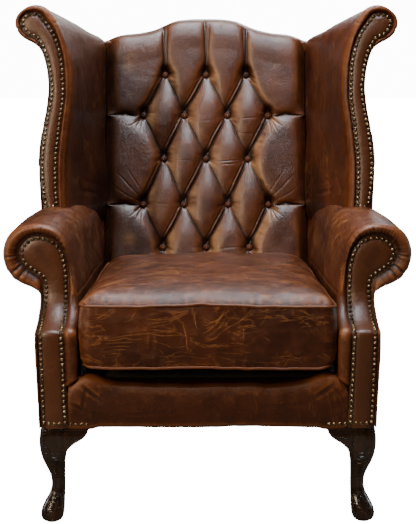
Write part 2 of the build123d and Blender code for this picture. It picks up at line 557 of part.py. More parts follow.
core = cushion(2.5)
save("seat_cushion_core", core)
save("seat_cushion_cover", cut(cushion(0), cushion(2.2)))
pipes = []
for z in (CUSH_Z0 + 3.5, CUSH_Z1 - 2.5):
    path = FilletPolyline(*[P(x, d, z) for x, d in ((-CUSH_FRONT_HALF, CUSH_D0), (CUSH_FRONT_HALF, CUSH_D0),
                                                    (CUSH_REAR_HALF, CUSH_D1), (-CUSH_REAR_HALF, CUSH_D1))],
                          radius=14, close=True)
    start, along = path @ 0.1, path % 0.1
    pipes.append(sweep(Plane(origin=path @ 0, z_dir=path % 0) * Circle(PIPING_R), path=path).solids()[0])
save("seat_cushion_piping", Compound(children=pipes))
zip_tape = box(-170, 170, CUSH_D1 + 0.1, CUSH_D1 + 1.1, 388, 404)
zip_slider = box(-166, -158, CUSH_D1 + 1.2, CUSH_D1 + 3.8, 391, 401)
save("cushion_zip", Compound(children=[zip_tape, zip_slider]))
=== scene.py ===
import bpy, json, math
import numpy as np
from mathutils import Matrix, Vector


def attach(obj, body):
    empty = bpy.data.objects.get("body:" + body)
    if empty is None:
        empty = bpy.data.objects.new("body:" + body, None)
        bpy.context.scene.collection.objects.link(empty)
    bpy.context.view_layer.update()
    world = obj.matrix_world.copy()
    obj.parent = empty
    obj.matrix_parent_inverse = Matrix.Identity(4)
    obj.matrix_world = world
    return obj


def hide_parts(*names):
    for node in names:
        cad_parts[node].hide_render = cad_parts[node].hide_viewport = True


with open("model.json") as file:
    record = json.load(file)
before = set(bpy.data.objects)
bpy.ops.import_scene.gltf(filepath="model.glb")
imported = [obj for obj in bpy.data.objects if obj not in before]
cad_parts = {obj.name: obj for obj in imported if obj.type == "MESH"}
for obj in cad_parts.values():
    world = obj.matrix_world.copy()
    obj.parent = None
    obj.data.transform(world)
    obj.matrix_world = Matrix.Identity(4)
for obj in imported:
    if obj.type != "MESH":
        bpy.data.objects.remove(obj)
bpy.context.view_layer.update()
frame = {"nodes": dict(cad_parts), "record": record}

NODES = frame["nodes"]

# Measurements are in millimetres: x to the right, d back from the front plane of the base, z up.
Y0 = 413.5
SLOPE_IN, SLOPE_OUT, D_SEAT = 0.307, 0.173, 560.0
rng = np.random.default_rng(7)


def W(x, d, z):
    a = np.stack(np.broadcast_arrays(np.asarray(x, float), np.asarray(d, float) - Y0, np.asarray(z, float)), -1)
    return a * 0.001


def d_out(z):
    return 690.0 + SLOPE_OUT * (z - 206.0)


def d_in(z):
    return D_SEAT + SLOPE_IN * (z - 457.0)


def d_wing(z):
    return 290.0 + 60.0 * (z - 630.0) / 445.0


def x_side(d):
    return -351.0 + 0.0716 * d


# ------------------------------------------------------------------ camera, lights, floor
def add_camera():
    cam = bpy.data.cameras.new("camera")
    cam.lens, cam.sensor_width, cam.sensor_fit = 82.9, 36.0, "AUTO"
    cam.clip_end = 50
    o = bpy.data.objects.new("camera", cam)
    bpy.context.scene.collection.objects.link(o)
    eye, aim = Vector(W(-19, -2400, 950)), Vector(W(0, 0, 554.15))
    o.location = eye
    o.rotation_euler = (aim - eye).to_track_quat("-Z", "Y").to_euler()
    bpy.context.scene.camera = o


def area(name, at, to, size, power, colour=(1, 1, 1), spread=180):
    li = bpy.data.lights.new(name, "AREA")
    li.shape, li.size, li.size_y = "RECTANGLE", size[0], size[1]
    li.energy, li.color = power, colour
    li.spread = math.radians(spread)
    o = bpy.data.objects.new(name, li)
    bpy.context.scene.collection.objects.link(o)
    o.location = at
    o.rotation_euler = (Vector(to) - Vector(at)).to_track_quat("-Z", "Y").to_euler()
    return o


def add_stage():
    """A pale floor under an even white surround; only the camera sees their glow."""
    s = 30.0
    me = bpy.data.meshes.new("floor")
    me.from_pydata([(-s, -s, 0), (s, -s, 0), (s, s, 0), (-s, s, 0)], [], [(0, 1, 2, 3)])
    o = bpy.data.objects.new("floor", me)
    bpy.context.scene.collection.objects.link(o)
    m = bpy.data.materials.new("floor_paper")
    m.use_nodes = True
    nt = m.node_tree
    b = nt.nodes["Principled BSDF"]
    b.inputs["Base Color"].default_value = (0.17, 0.145, 0.115, 1)
    b.inputs["Roughness"].default_value = 0.8
    b.inputs["Specular IOR Level"].default_value = 0.0
    glow = nt.nodes.new("ShaderNodeEmission")
    glow.inputs["Strength"].default_value = FLOOR_GLOW
    pick = nt.nodes.new("ShaderNodeMixShader")
    path = nt.nodes.new("ShaderNodeLightPath")
    nt.links.new(path.outputs["Is Camera Ray"], pick.inputs[0])
    nt.links.new(b.outputs[0], pick.inputs[1])
    nt.links.new(glow.outputs[0], pick.inputs[2])
    nt.links.new(pick.outputs[0], nt.nodes["Material Output"].inputs["Surface"])
    me.materials.append(m)
    w = bpy.data.worlds.new("world")
    bpy.context.scene.world = w
    w.use_nodes = True
    nt = w.node_tree
    bg = nt.nodes["Background"]
    bg.inputs["Color"].default_value = (0.90, 0.95, 1.0, 1)
    bg.inputs["Strength"].default_value = WORLD_LIGHT
    white = nt.nodes.new("ShaderNodeBackground")
    white.inputs["Strength"].default_value = FLOOR_GLOW
    pick = nt.nodes.new("ShaderNodeMixShader")
    path = nt.nodes.new("ShaderNodeLightPath")
    nt.links.new(path.outputs["Is Camera Ray"], pick.inputs[0])
    nt.links.new(bg.outputs[0], pick.inputs[1])
    nt.links.new(white.outputs[0], pick.inputs[2])
    nt.links.new(pick.outputs[0], nt.nodes["World Output"].inputs["Surface"])
    for spec in LIGHTS:
        area(*spec)


FLOOR_GLOW, WORLD_LIGHT = 17.0, 0.03
LIGHTS = (("top_softbox", (0.05, -0.30, 2.85), (0.02, 0.02, 0.5), (1.05, 2.0), 150, (0.84, 0.92, 1.0)),
          ("left_strip", (-1.85, -2.35, 1.75), (0.1, 0.05, 0.75), (0.30, 1.7), 92, (1.0, 0.78, 0.54)),
          ("left_side", (-3.2, 0.7, 0.8), (0.0, 0.2, 0.6), (0.8, 1.0), 16, (1.0, 0.95, 0.90)),
          ("right_side", (3.2, 0.7, 0.8), (0.0, 0.2, 0.6), (0.8, 1.0), 16, (0.95, 0.97, 1.0)),
          ("right_softbox", (2.6, -1.7, 1.5), (0.0, 0.0, 0.6), (0.8, 1.2), 1.2, (1.0, 0.96, 0.92)),
          ("front_fill", (0.3, -3.8, 1.5), (0.0, 0.0, 0.5), (2.0, 1.2), 4, (1.0, 0.96, 0.90)),
          ("back_light", (0.5, 2.9, 2.6), (0.0, 0.0, 0.7), (2.0, 1.5), 45, (0.95, 0.98, 1.0)))
add_camera()
add_stage()


# ------------------------------------------------------------------ smooth noise
def _hash(ix, iy, iz, seed):
    n = (ix.astype(np.int64) * 374761393 + iy.astype(np.int64) * 668265263 + iz.astype(np.int64) * 2147483647
         + seed * 974634777) & 0xFFFFFFFF
    n = ((n ^ (n >> 13)) * 1274126177) & 0xFFFFFFFF
    return ((n ^ (n >> 16)) & 0xFFFFF) / float(0xFFFFF)


def noise(p, cell, seed=0):
    """Smooth value noise from -1 to 1 at points p (mm), with that cell size."""
    q = np.asarray(p) / cell
    i = np.floor(q).astype(np.int64)
    f = q - i
    f = f * f * f * (f * (f * 6 - 15) + 10)
    out = 0.0
    for dx in (0, 1):
        wx = f[..., 0] if dx else 1 - f[..., 0]
        for dy in (0, 1):
            wy = f[..., 1] if dy else 1 - f[..., 1]
            for dz in (0, 1):
                wz = f[..., 2] if dz else 1 - f[..., 2]
                out = out + wx * wy * wz * _hash(i[..., 0] + dx, i[..., 1] + dy, i[..., 2] + dz, seed)
    return out * 2 - 1


def fbm(p, cell, seed=0, octaves=3):
    return sum(noise(p, cell / 2 ** k, seed + k * 17) * 0.5 ** k for k in range(octaves))


def smoothstep(a, b, x):
    t = np.clip((x - a) / (b - a), 0, 1)
    return t * t * (3 - 2 * t)


# ------------------------------------------------------------------ curves
def catmull(pts, n, closed=False):
    """n points evenly spaced by length along a smooth curve through pts."""
    p = np.asarray(pts, float)
    if closed:
        q = np.vstack([p[-1], p, p[0], p[1]])
    else:
        q = np.vstack([2 * p[0] - p[1], p, 2 * p[-1] - p[-2]])
    out = []
    for i in range(1, len(q) - 2):
        p0, p1, p2, p3 = q[i - 1], q[i], q[i + 1], q[i + 2]
        t = np.linspace(0, 1, 16, endpoint=False)[:, None]
        # centripetal form keeps the curve from overshooting on uneven points
        a01, a12, a23 = [max(np.linalg.norm(b - a), 1e-6) ** 0.5 for a, b in ((p0, p1), (p1, p2), (p2, p3))]
        m1 = (p2 - p1) + a12 * ((p1 - p0) / a01 - (p2 - p0) / (a01 + a12))
        m2 = (p2 - p1) + a12 * ((p3 - p2) / a23 - (p3 - p1) / (a12 + a23))
        t2, t3 = t * t, t * t * t
        out.append((2 * t3 - 3 * t2 + 1) * p1 + (t3 - 2 * t2 + t) * m1 + (-2 * t3 + 3 * t2) * p2 + (t3 - t2) * m2)
    out.append(q[-2][None] if not closed else q[len(q) - 2][None])
    return resample(np.vstack(out), n)


def resample(p, n):
    p = np.asarray(p, float)
    s = np.r_[0, np.cumsum(np.linalg.norm(np.diff(p, axis=0), axis=1))]
    t = np.linspace(0, s[-1], n)
    return np.stack([np.interp(t, s, p[:, k]) for k in range(p.shape[1])], -1)


def at_arc(p, t):
    """Points of polyline p at the arc-length fractions t."""
    s = np.r_[0, np.cumsum(np.linalg.norm(np.diff(p, axis=0), axis=1))]
    return np.stack([np.interp(np.asarray(t) * s[-1], s, p[:, k]) for k in range(p.shape[1])], -1)


def seg_dist(px, py, a, b):
    """Distance to a segment and how far along it the nearest point is."""
    ax, ay, bx, by = a[0], a[1], b[0], b[1]
    l2 = (bx - ax) ** 2 + (by - ay) ** 2
    t = np.clip(((px - ax) * (bx - ax) + (py - ay) * (by - ay)) / l2, 0, 1)
    return np.hypot(px - ax - t * (bx - ax), py - ay - t * (by - ay)), t


def poly_dist(px, py, line):
    """Distance to an open polyline and the arc fraction of the nearest point."""
    line = np.asarray(line, float)
    s = np.r_[0, np.cumsum(np.hypot(*np.diff(line, axis=0).T))]
    best = np.full(np.shape(px), 1e9)
    frac = np.zeros(np.shape(px))
    for i in range(len(line) - 1):
        d, t = seg_dist(px, py, line[i], line[i + 1])
        m = d < best
        best = np.where(m, d, best)
        frac = np.where(m, (s[i] + t * (s[i + 1] - s[i])) / s[-1], frac)
    return best, frac


def inside(px, py, poly):
    r = np.zeros(np.shape(px), bool)
    n = len(poly)
    for i in range(n):
        x0, y0 = poly[i]
        x1, y1 = poly[(i + 1) % n]
        if y0 == y1:
            continue
        c = ((y0 > py) != (y1 > py)) & (px < (x1 - x0) * (py - y0) / (y1 - y0) + x0)
        r ^= c
    return r


# ------------------------------------------------------------------ meshes
def grid_faces(n, m, close_n=False, close_m=False, flip=False):
    i = np.arange(n if close_n else n - 1)
    j = np.arange(m if close_m else m - 1)
    i, j = np.meshgrid(i, j, indexing="ij")
    a, b = i * m + j, ((i + 1) % n) * m + j
    c, d = ((i + 1) % n) * m + (j + 1) % m, i * m + (j + 1) % m
    q = np.stack([a, b, c, d], -1).reshape(-1, 4)
    return q[:, ::-1] if flip else q


def laplace(V, E, steps):
    """V after that many steps of neighbour averaging over edges E."""
    n = len(V)
    deg = np.maximum(np.bincount(E.ravel(), minlength=n), 1).astype(float)
    S = V.copy()
    for _ in range(steps):
        for k in range(V.shape[1]):
            acc = np.bincount(E[:, 0], S[E[:, 1], k], n) + np.bincount(E[:, 1], S[E[:, 0], k], n)
            S[:, k] = 0.5 * S[:, k] + 0.5 * acc / deg
    return S


def make(name, V, F, mat, body="chair", mirror=False, wear=True, extra=None, solid=0.0, smooth=True, tris=None):
    """A piece from vertex and face arrays, with curvature stored for the worn leather and its painted shade in hollows.
    """
    V = np.ascontiguousarray(V.reshape(-1, 3), float)
    F = np.asarray(F, np.int32)
    if mirror:
        V = V * [-1, 1, 1]
        F = F[:, ::-1]
    me = bpy.data.meshes.new(name)
    me.vertices.add(len(V))
    me.vertices.foreach_set("co", V.astype(np.float32).ravel())
    k = F.shape[1]
    nf = len(F)
    loops = F.ravel()
    starts, totals = np.arange(0, nf * k, k), np.full(nf, k)
    if tris is not None and len(tris):
        T = np.asarray(tris, np.int32)
        if mirror:
            T = T[:, ::-1]
        starts = np.r_[starts, nf * k + np.arange(0, len(T) * 3, 3)]
        totals = np.r_[totals, np.full(len(T), 3)]
        loops = np.r_[loops, T.ravel()]
    me.loops.add(len(loops))
    me.loops.foreach_set("vertex_index", loops.astype(np.int32))
    me.polygons.add(len(starts))
    me.polygons.foreach_set("loop_start", starts.astype(np.int32))
    me.polygons.foreach_set("loop_total", totals.astype(np.int32))
    me.update(calc_edges=True)
    me.validate()
    me.polygons.foreach_set("use_smooth", [smooth] * len(me.polygons))
    if wear:
        E = np.empty(len(me.edges) * 2, np.int32)
        me.edges.foreach_get("vertices", E)
        E = E.reshape(-1, 2)
        N = np.empty(len(V) * 3, np.float32)
        me.vertices.foreach_get("normal", N)
        N = N.reshape(-1, 3)
        step = float(np.median(np.linalg.norm(V[E[:, 0]] - V[E[:, 1]], axis=1))) * 1000
        k1 = max(2, int(round((4.0 / step) ** 2 * 2)))
        k2 = int(np.clip(round((12.0 / step) ** 2 * 2), 8, 120))
        S1 = laplace(V, E, k1)
        S2 = laplace(S1, E, k2)
        c1 = ((V - S1) * N).sum(1) * 1000
        c2 = ((S1 - S2) * N).sum(1) * 1000
        for nm, c in (("fine_bend", c1), ("wide_bend", c2)):
            at = me.attributes.new(nm, "FLOAT", "POINT")
            at.data.foreach_set("value", c.astype(np.float32))
    for nm, val in (extra or {}).items():
        at = me.attributes.new(nm, "FLOAT", "POINT")
        at.data.foreach_set("value", np.asarray(val, np.float32).ravel())
    o = bpy.data.objects.new(name, me)
    bpy.context.scene.collection.objects.link(o)
    me.materials.append(mat)
    if solid:
        md = o.modifiers.new("thickness", "SOLIDIFY")
        md.thickness, md.offset = solid * 0.001, -1.0
    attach(o, body)
    return o


def both(name, V, F, mat, **kw):
    return [make("left_" + name, V, F, mat, **kw), make("right_" + name, V, F, mat, mirror=True, **kw)]


def normals(G):
    """Unit normals of a grid of points, (n, m, 3)."""
    du, dv = np.gradient(G, axis=0), np.gradient(G, axis=1)
    n = np.cross(du, dv)
    return n / np.maximum(np.linalg.norm(n, axis=-1, keepdims=True), 1e-12)


def tube(path, r, sides=12, closed=False, squeeze=1.0):
    """Vertices and faces of a round tube along a path (metres)."""
    p = np.asarray(path, float)
    t = np.roll(p, -1, 0) - np.roll(p, 1, 0) if closed else np.gradient(p, axis=0)
    t /= np.linalg.norm(t, axis=1, keepdims=True)
    up = np.array([0, 0, 1.0])
    a = np.cross(t, up)
    bad = np.linalg.norm(a, axis=1) < 0.2
    a[bad] = np.cross(t[bad], [1.0, 0, 0])
    a /= np.linalg.norm(a, axis=1, keepdims=True)
    b = np.cross(a, t)
    th = np.linspace(0, 2 * np.pi, sides, endpoint=False)
    V = p[:, None] + r * (np.cos(th)[None, :, None] * a[:, None] + squeeze * np.sin(th)[None, :, None] * b[:, None])
    F = grid_faces(len(p), sides, close_n=closed, close_m=True)
    V = V.reshape(-1, 3)
    if not closed:
        tris = []
        n = len(V)
        V = np.vstack([V, p[0], p[-1]])
        base = (len(p) - 1) * sides
        for i in range(sides):
            j = (i + 1) % sides
            tris.append((n, j, i)[::-1])
            tris.append((n + 1, base + i, base + j)[::-1])
        return V, F, np.array(tris)
    return V, F, None


# ------------------------------------------------------------------ materials
class NT:
    """Short helpers for building node trees."""

    def __init__(self, name):
        self.m = bpy.data.materials.new(name)
        self.m.use_nodes = True
        self.t = self.m.node_tree
        self.b = self.t.nodes["Principled BSDF"]
        self.co = self.n("ShaderNodeTexCoord").outputs["Object"]

    def n(self, kind, **kw):
        node = self.t.nodes.new(kind)
        for k, v in kw.items():
            setattr(node, k, v)
        return node

    def put(self, sock, v):
        if isinstance(v, bpy.types.NodeSocket):
            self.t.links.new(v, sock)
        elif v is not None:
            sock.default_value = v

    def math(self, op, a, b=None, c=None, clamp=False):
        n = self.n("ShaderNodeMath", operation=op, use_clamp=clamp)
        for s, v in zip(n.inputs, (a, b, c)):
            self.put(s, v)
        return n.outputs[0]

    def scale(self, vec, xyz):
        n = self.n("ShaderNodeMapping")
        self.put(n.inputs["Vector"], vec)
        n.inputs["Scale"].default_value = xyz
        return n.outputs[0]

    def shift(self, vec, xyz):
        n = self.n("ShaderNodeMapping")
        self.put(n.inputs["Vector"], vec)
        n.inputs["Location"].default_value = xyz
        return n.outputs[0]

    def noise(self, vec, scale, detail=4.0, rough=0.55, dist=0.0, color=False):
        n = self.n("ShaderNodeTexNoise")
        self.put(n.inputs["Vector"], vec)
        n.inputs["Scale"].default_value = scale
        n.inputs["Detail"].default_value = detail
        n.inputs["Roughness"].default_value = rough
        n.inputs["Distortion"].default_value = dist
        return n.outputs["Color"] if color else n.outputs[0]

    def voronoi(self, vec, scale, feature="DISTANCE_TO_EDGE", rand=1.0):
        n = self.n("ShaderNodeTexVoronoi", feature=feature)
        self.put(n.inputs["Vector"], vec)
        n.inputs["Scale"].default_value = scale
        n.inputs["Randomness"].default_value = rand
        return n.outputs["Distance"]

    def ramp(self, fac, stops, interp="LINEAR"):
        n = self.n("ShaderNodeValToRGB")
        n.color_ramp.interpolation = interp
        while len(n.color_ramp.elements) < len(stops):
            n.color_ramp.elements.new(0.5)
        for e, (p, c) in zip(n.color_ramp.elements, stops):
            e.position = p
            e.color = (*c, 1) if len(c) == 3 else c
        self.put(n.inputs[0], fac)
        return n.outputs[0]

    def mix(self, fac, a, b, mode="MIX"):
        n = self.n("ShaderNodeMix", data_type="RGBA", blend_type=mode)
        self.put(n.inputs[0], fac)
        for s, v in ((n.inputs[6], a), (n.inputs[7], b)):
            if isinstance(v, tuple):
                v = (*v, 1.0) if len(v) == 3 else v
            self.put(s, v)
        return n.outputs[2]

    def map(self, v, a, b, c=0.0, d=1.0, smooth=True):
        n = self.n("ShaderNodeMapRange", interpolation_type="SMOOTHSTEP" if smooth else "LINEAR")
        for s, x in zip(n.inputs, (v, a, b, c, d)):
            self.put(s, x)
        return n.outputs[0]

    def attr(self, name):
        return self.n("ShaderNodeAttribute", attribute_name=name).outputs["Fac"]

    def vadd(self, a, b, k=1.0):
        s = self.n("ShaderNodeVectorMath", operation="SCALE")
        self.put(s.inputs[0], b)
        s.inputs["Scale"].default_value = k
        n = self.n("ShaderNodeVectorMath", operation="ADD")
        self.put(n.inputs[0], a)
        self.put(n.inputs[1], s.outputs[0])
        return n.outputs[0]

    def bump(self, height, dist, strength=1.0, prev=None):
        n = self.n("ShaderNodeBump")
        n.inputs["Strength"].default_value = strength
        n.inputs["Distance"].default_value = dist
        self.put(n.inputs["Height"], height)
        if prev is not None:
            self.put(n.inputs["Normal"], prev)
        return n.outputs[0]

    def done(self, **kw):
        for k, v in kw.items():
            self.put(self.b.inputs[k.replace("_", " ")], v)
        return self.m


def leather(name, seed=0.0, veins=0.5, creases=0.4, crease_dir=(1.0, 1.0, 1.0), tone=1.0, mottle=0.5, sheen=0.5,
            rough=0.42, red=0.0, lines=False, wear=1.0, with_painted_highlight=False):
    """Waxed pull-up leather: dark oiled brown that lightens to tan where it is bent, rubbed and cracked, with painted
    shade in its hollows.
    """
    t = NT(name)
    co = t.shift(t.co, (seed * 1.37, seed * 0.71, seed * 2.13))
    warp = t.noise(co, 14.0, 2.0, 0.5, color=True)
    cw = t.vadd(co, warp, 0.030)
    # slow mottling of the dye
    big = t.noise(co, 5.5, 3.0, 0.55, 0.6)
    mid = t.noise(cw, 19.0, 4.0, 0.6, 0.4)
    small = t.noise(co, 90.0, 3.0, 0.6)
    f = t.math("MULTIPLY_ADD", big, 0.55, t.math("MULTIPLY_ADD", mid, 0.40, t.math("MULTIPLY", small, 0.13)))
    k = tone
    dark = (0.0115 * k, 0.0026 * k, 0.0010 * k)
    brown = (0.034 * k, 0.0076 * k, (0.0022 - 0.0004 * red) * k)
    chest = (0.074 * k, (0.0178 - 0.003 * red) * k, (0.0044 - 0.0008 * red) * k)
    tan = (0.20 * k, 0.066 * k, 0.017 * k)
    w = 0.10 * mottle
    base = t.ramp(f, [(0.36 - w, dark), (0.47 - 0.4 * w, brown), (0.57 + w, chest), (0.80 + w, tan)])
    # bends: convex places are rubbed lighter, hollows are darkened with painted shade
    fine, wide = t.attr("fine_bend"), t.attr("wide_bend")
    rub = t.map(t.math("MULTIPLY_ADD", wide, 1.0, t.math("MULTIPLY", t.math("SUBTRACT", mid, 0.5), 0.9)), 0.15, 1.60, 0, 0.55 * wear)
    rubf = t.map(t.math("MULTIPLY_ADD", fine, 1.0, t.math("MULTIPLY", t.math("SUBTRACT", small, 0.5), 0.16)), 0.035, 0.30, 0, 0.50 * wear)
    painted_shade_and_mottle = t.map(t.math("MULTIPLY", wide, -1.0), 0.15, 2.6, 0, 0.72)
    painted_crease_shade = t.map(t.math("MULTIPLY", fine, -1.0), 0.05, 0.60, 0, 0.62)
    col = t.mix(rub, base, (0.125 * k, 0.033 * k, 0.0082 * k))
    col = t.mix(rubf, col, (0.22 * k, 0.075 * k, 0.021 * k))
    col = t.mix(painted_shade_and_mottle, col, (0.0075, 0.0019, 0.0010))
    col = t.mix(painted_crease_shade, col, (0.0045, 0.0013, 0.0008))
    # each piece's own darkening: painted shade in its shadowed folds, seams and corners, and on the seat darker mottles
    # of the hide
    col = t.mix(t.math("MULTIPLY", t.attr("painted_shade_and_mottle"), 0.85), col, (0.0040, 0.0012, 0.0008))
    if with_painted_highlight:
        # painted highlight: a warm golden reflection on the pillows' left-facing slopes
        col = t.mix(t.attr("painted_warm_highlight"), col, (0.285 * k, 0.142 * k, 0.060 * k))
    # cracked wax: a patchy net of fine tan veins
    warp2 = t.noise(co, 42.0, 3.0, 0.6, color=True)
    cv = t.vadd(cw, warp2, 0.016)
    e1 = t.voronoi(cv, 27.0)
    e2 = t.voronoi(cv, 63.0)
    v1 = t.map(e1, 0.0, 0.045, 1, 0)
    v2 = t.map(e2, 0.0, 0.050, 1, 0)
    patch = t.map(t.noise(t.shift(co, (3.1, 1.7, 0.4)), 7.5, 3.0, 0.6), 0.46, 0.66)
    patch2 = t.map(t.noise(t.shift(co, (0.6, 5.2, 2.4)), 16.0, 3.0, 0.6), 0.50, 0.68)
    net = t.math("MULTIPLY", t.math("MAXIMUM", t.math("MULTIPLY", v1, patch), t.math("MULTIPLY", t.math("MULTIPLY", v2, patch2), 0.7)), veins)
    # long soft creases, ridged noise drawn out along one direction
    cd = t.scale(t.vadd(co, warp, 0.018), crease_dir)
    r1 = t.math("ABSOLUTE", t.math("SUBTRACT", t.noise(cd, 16.0, 3.0, 0.55, 0.25), 0.5))
    c1 = t.map(r1, 0.0, 0.016, 1, 0)
    cp = t.map(t.noise(t.shift(co, (1.9, 0.2, 4.4)), 9.0, 2.0, 0.5), 0.47, 0.62)
    long = t.math("MULTIPLY", t.math("MULTIPLY", c1, cp), creases)
    marks = t.math("MAXIMUM", net, long)
    if lines:
        marks = t.math("MAXIMUM", marks, t.attr("marks"))
    marks = t.math("MULTIPLY", marks, t.map(t.noise(co, 60.0, 2.0), 0.30, 0.60, 0.35, 1.0), clamp=True)
    col = t.mix(marks, col, (0.42 * k, 0.175 * k, 0.055 * k))
    # grain: pebbles about 1 mm across, pores, and soft handling wrinkles
    g1 = t.voronoi(t.vadd(co, warp2, 0.004), 760.0)
    g2 = t.noise(co, 1500.0, 2.0, 0.5)
    g3 = t.noise(cw, 210.0, 3.0, 0.6, 0.3)
    grain = t.math("MULTIPLY_ADD", t.map(g1, 0.0, 0.22, 0, 1), 0.55, t.math("MULTIPLY", g2, 0.25))
    nb = t.bump(g3, 0.0011, 0.55)
    nb = t.bump(grain, 0.00022, 0.55, nb)
    nb = t.bump(t.math("SUBTRACT", 1.0, t.math("MAXIMUM", net, long)), 0.0007, 0.55, nb)
    ro = t.math("ADD", rough - 0.10, t.math("MULTIPLY", t.map(mid, 0.3, 0.7, 0, 1), 0.13))
    ro = t.math("ADD", ro, t.math("MULTIPLY", marks, 0.12))
    ro = t.math("ADD", ro, t.math("MULTIPLY", g1, 0.10), clamp=True)
    m = t.done(Base_Color=col, Roughness=ro, Normal=nb)
    t.b.inputs["Specular IOR Level"].default_value = 0.16 + 0.22 * sheen
    t.b.inputs["Coat Weight"].default_value = 0.12 * sheen
    t.b.inputs["Coat Roughness"].default_value = 0.30
    return m


def mahogany():
    t = NT("mahogany_polish")
    g = t.scale(t.co, (34.0, 34.0, 3.2))
    a = t.noise(g, 1.6, 5.0, 0.6, 1.2)
    b = t.noise(t.scale(t.co, (300.0, 300.0, 14.0)), 1.0, 3.0, 0.6)
    col = t.ramp(a, [(0.30, (0.0060, 0.0020, 0.0008)), (0.52, (0.0170, 0.0062, 0.0018)), (0.72, (0.036, 0.0135, 0.0036))])
    col = t.mix(t.map(b, 0.50, 0.66, 0, 0.5), col, (0.006, 0.0020, 0.0009))
    fl = t.noise(t.co, 26.0, 3.0, 0.5)
    ro = t.map(fl, 0.3, 0.7, 0.20, 0.34)
    nb = t.bump(b, 0.00012, 0.5)
    m = t.done(Base_Color=col, Roughness=ro, Normal=nb)
    t.b.inputs["Specular IOR Level"].default_value = 0.18
    t.b.inputs["Coat Weight"].default_value = 0.85
    t.b.inputs["Coat Roughness"].default_value = 0.08
    return m


def brass():
    t = NT("antique_brass_nails")
    a = t.noise(t.co, 160.0, 4.0, 0.6)
    b = t.noise(t.co, 900.0, 3.0, 0.6)
    col = t.ramp(a, [(0.32, (0.050, 0.034, 0.018)), (0.52, (0.17, 0.12, 0.065)), (0.72, (0.42, 0.32, 0.19))])
    ro = t.map(b, 0.3, 0.7, 0.26, 0.46)
    nb = t.bump(b, 0.0001, 0.4)
    m = t.done(Base_Color=col, Roughness=ro, Normal=nb)
    t.b.inputs["Metallic"].default_value = 1.0
    return m


def cloth(name, c0, c1, pitch, rough=0.9, slub=0.3):
    """Plain woven cloth: over-and-under yarns at that pitch (metres)."""
    t = NT(name)
    sx = t.n("ShaderNodeSeparateXYZ")
    t.put(sx.inputs[0], t.vadd(t.co, t.noise(t.co, 30.0, 2.0, color=True), 0.0012))
    k = 2 * math.pi / (2 * pitch)
    wx = t.math("SINE", t.math("MULTIPLY", sx.outputs[0], k))
    wy = t.math("SINE", t.math("MULTIPLY", t.math("ADD", sx.outputs[1], sx.outputs[2]), k))
    over = t.math("MULTIPLY", wx, wy)
    yarn = t.math("MAXIMUM", t.math("ABSOLUTE", wx), t.math("ABSOLUTE", wy))
    h = t.math("MULTIPLY_ADD", over, 0.5, yarn)
    n = t.noise(t.scale(t.co, (40, 300, 40)), 1.0, 3.0)
    f = t.math("MULTIPLY_ADD", h, 0.35, t.math("MULTIPLY", n, slub + 0.4))
    col = t.ramp(f, [(0.20, c0), (0.95, c1)])
    m = t.done(Base_Color=col, Roughness=rough, Normal=t.bump(h, pitch * 0.25, 0.8))
    t.b.inputs["Sheen Weight"].default_value = 0.25
    return m


def wood(name, c0, c1, c2, along=(30, 30, 3), rough=0.62):
    t = NT(name)
    a = t.noise(t.scale(t.co, along), 1.5, 5.0, 0.6, 1.0)
    b = t.noise(t.scale(t.co, tuple(9 * v for v in along)), 1.0, 2.0, 0.6)
    col = t.ramp(a, [(0.3, c0), (0.5, c1), (0.72, c2)])
    col = t.mix(t.map(b, 0.52, 0.7, 0, 0.35), col, c0)
    return t.done(Base_Color=col, Roughness=rough, Normal=t.bump(b, 0.0003, 0.6))


def metal(name, c, rough=0.4, scale=300.0):
    t = NT(name)
    a = t.noise(t.co, scale, 4.0, 0.6)
    col = t.mix(t.map(a, 0.3, 0.7), c, tuple(v * 0.6 for v in c))
    m = t.done(Base_Color=col, Roughness=t.map(a, 0.3, 0.7, rough - 0.08, rough + 0.12), Normal=t.bump(a, 0.0001, 0.3))
    t.b.inputs["Metallic"].default_value = 1.0
    return m


L_BACK = leather("leather_inside_back", 1.0, veins=0.08, creases=0.10, crease_dir=(0.6, 1.0, 2.0), tone=0.90, mottle=1.0, sheen=0.95, rough=0.37, wear=0.5, with_painted_highlight=True)
L_SEAT = leather("leather_seat_cushion", 2.0, veins=0.22, creases=0.26, crease_dir=(0.45, 0.8, 2.2), tone=1.17, mottle=1.2, sheen=0.50, rough=0.42, lines=True)
L_BORDER = leather("leather_front_border", 3.0, veins=0.08, creases=0.12, crease_dir=(1.6, 1.0, 0.5), tone=0.80, mottle=1.4, sheen=0.4, rough=0.46)
L_ARM = leather("leather_arms", 4.0, veins=0.10, creases=0.28, crease_dir=(1.4, 0.5, 1.0), tone=1.10, mottle=1.1, sheen=0.62, rough=0.41, lines=True, wear=0.7)
L_WING = leather("leather_wings", 5.0, veins=0.08, creases=0.16, crease_dir=(1.2, 0.6, 0.7), tone=1.18, mottle=1.0, sheen=0.28, rough=0.38)
L_FACE = leather("leather_facings", 6.0, veins=0.08, creases=0.12, tone=0.62, mottle=1.3, sheen=0.95, rough=0.37, wear=0.4)
L_OUT = leather("leather_outside", 7.0, veins=0.12, creases=0.20, tone=1.05, mottle=0.8, sheen=0.5, rough=0.45)
L_PIPE = leather("leather_piping", 8.0, veins=0.05, creases=0.0, tone=1.0, mottle=0.5, sheen=0.5, rough=0.42, wear=0.5)
L_BUTTON = leather("leather_buttons", 9.0, veins=0.0, creases=0.0, tone=5.5, mottle=0.2, sheen=0.1, rough=0.62, wear=0.0)
MAHOGANY, BRASS = mahogany(), brass()
CAMBRIC = cloth("black_cambric", (0.004, 0.004, 0.005), (0.028, 0.028, 0.030), 0.0009, 0.95)
HESSIAN = cloth("hessian", (0.10, 0.065, 0.030), (0.36, 0.27, 0.15), 0.0022, 0.95)
DECKING = cloth("deck_cloth", (0.004, 0.003, 0.002), (0.017, 0.011, 0.008), 0.0012, 0.95)
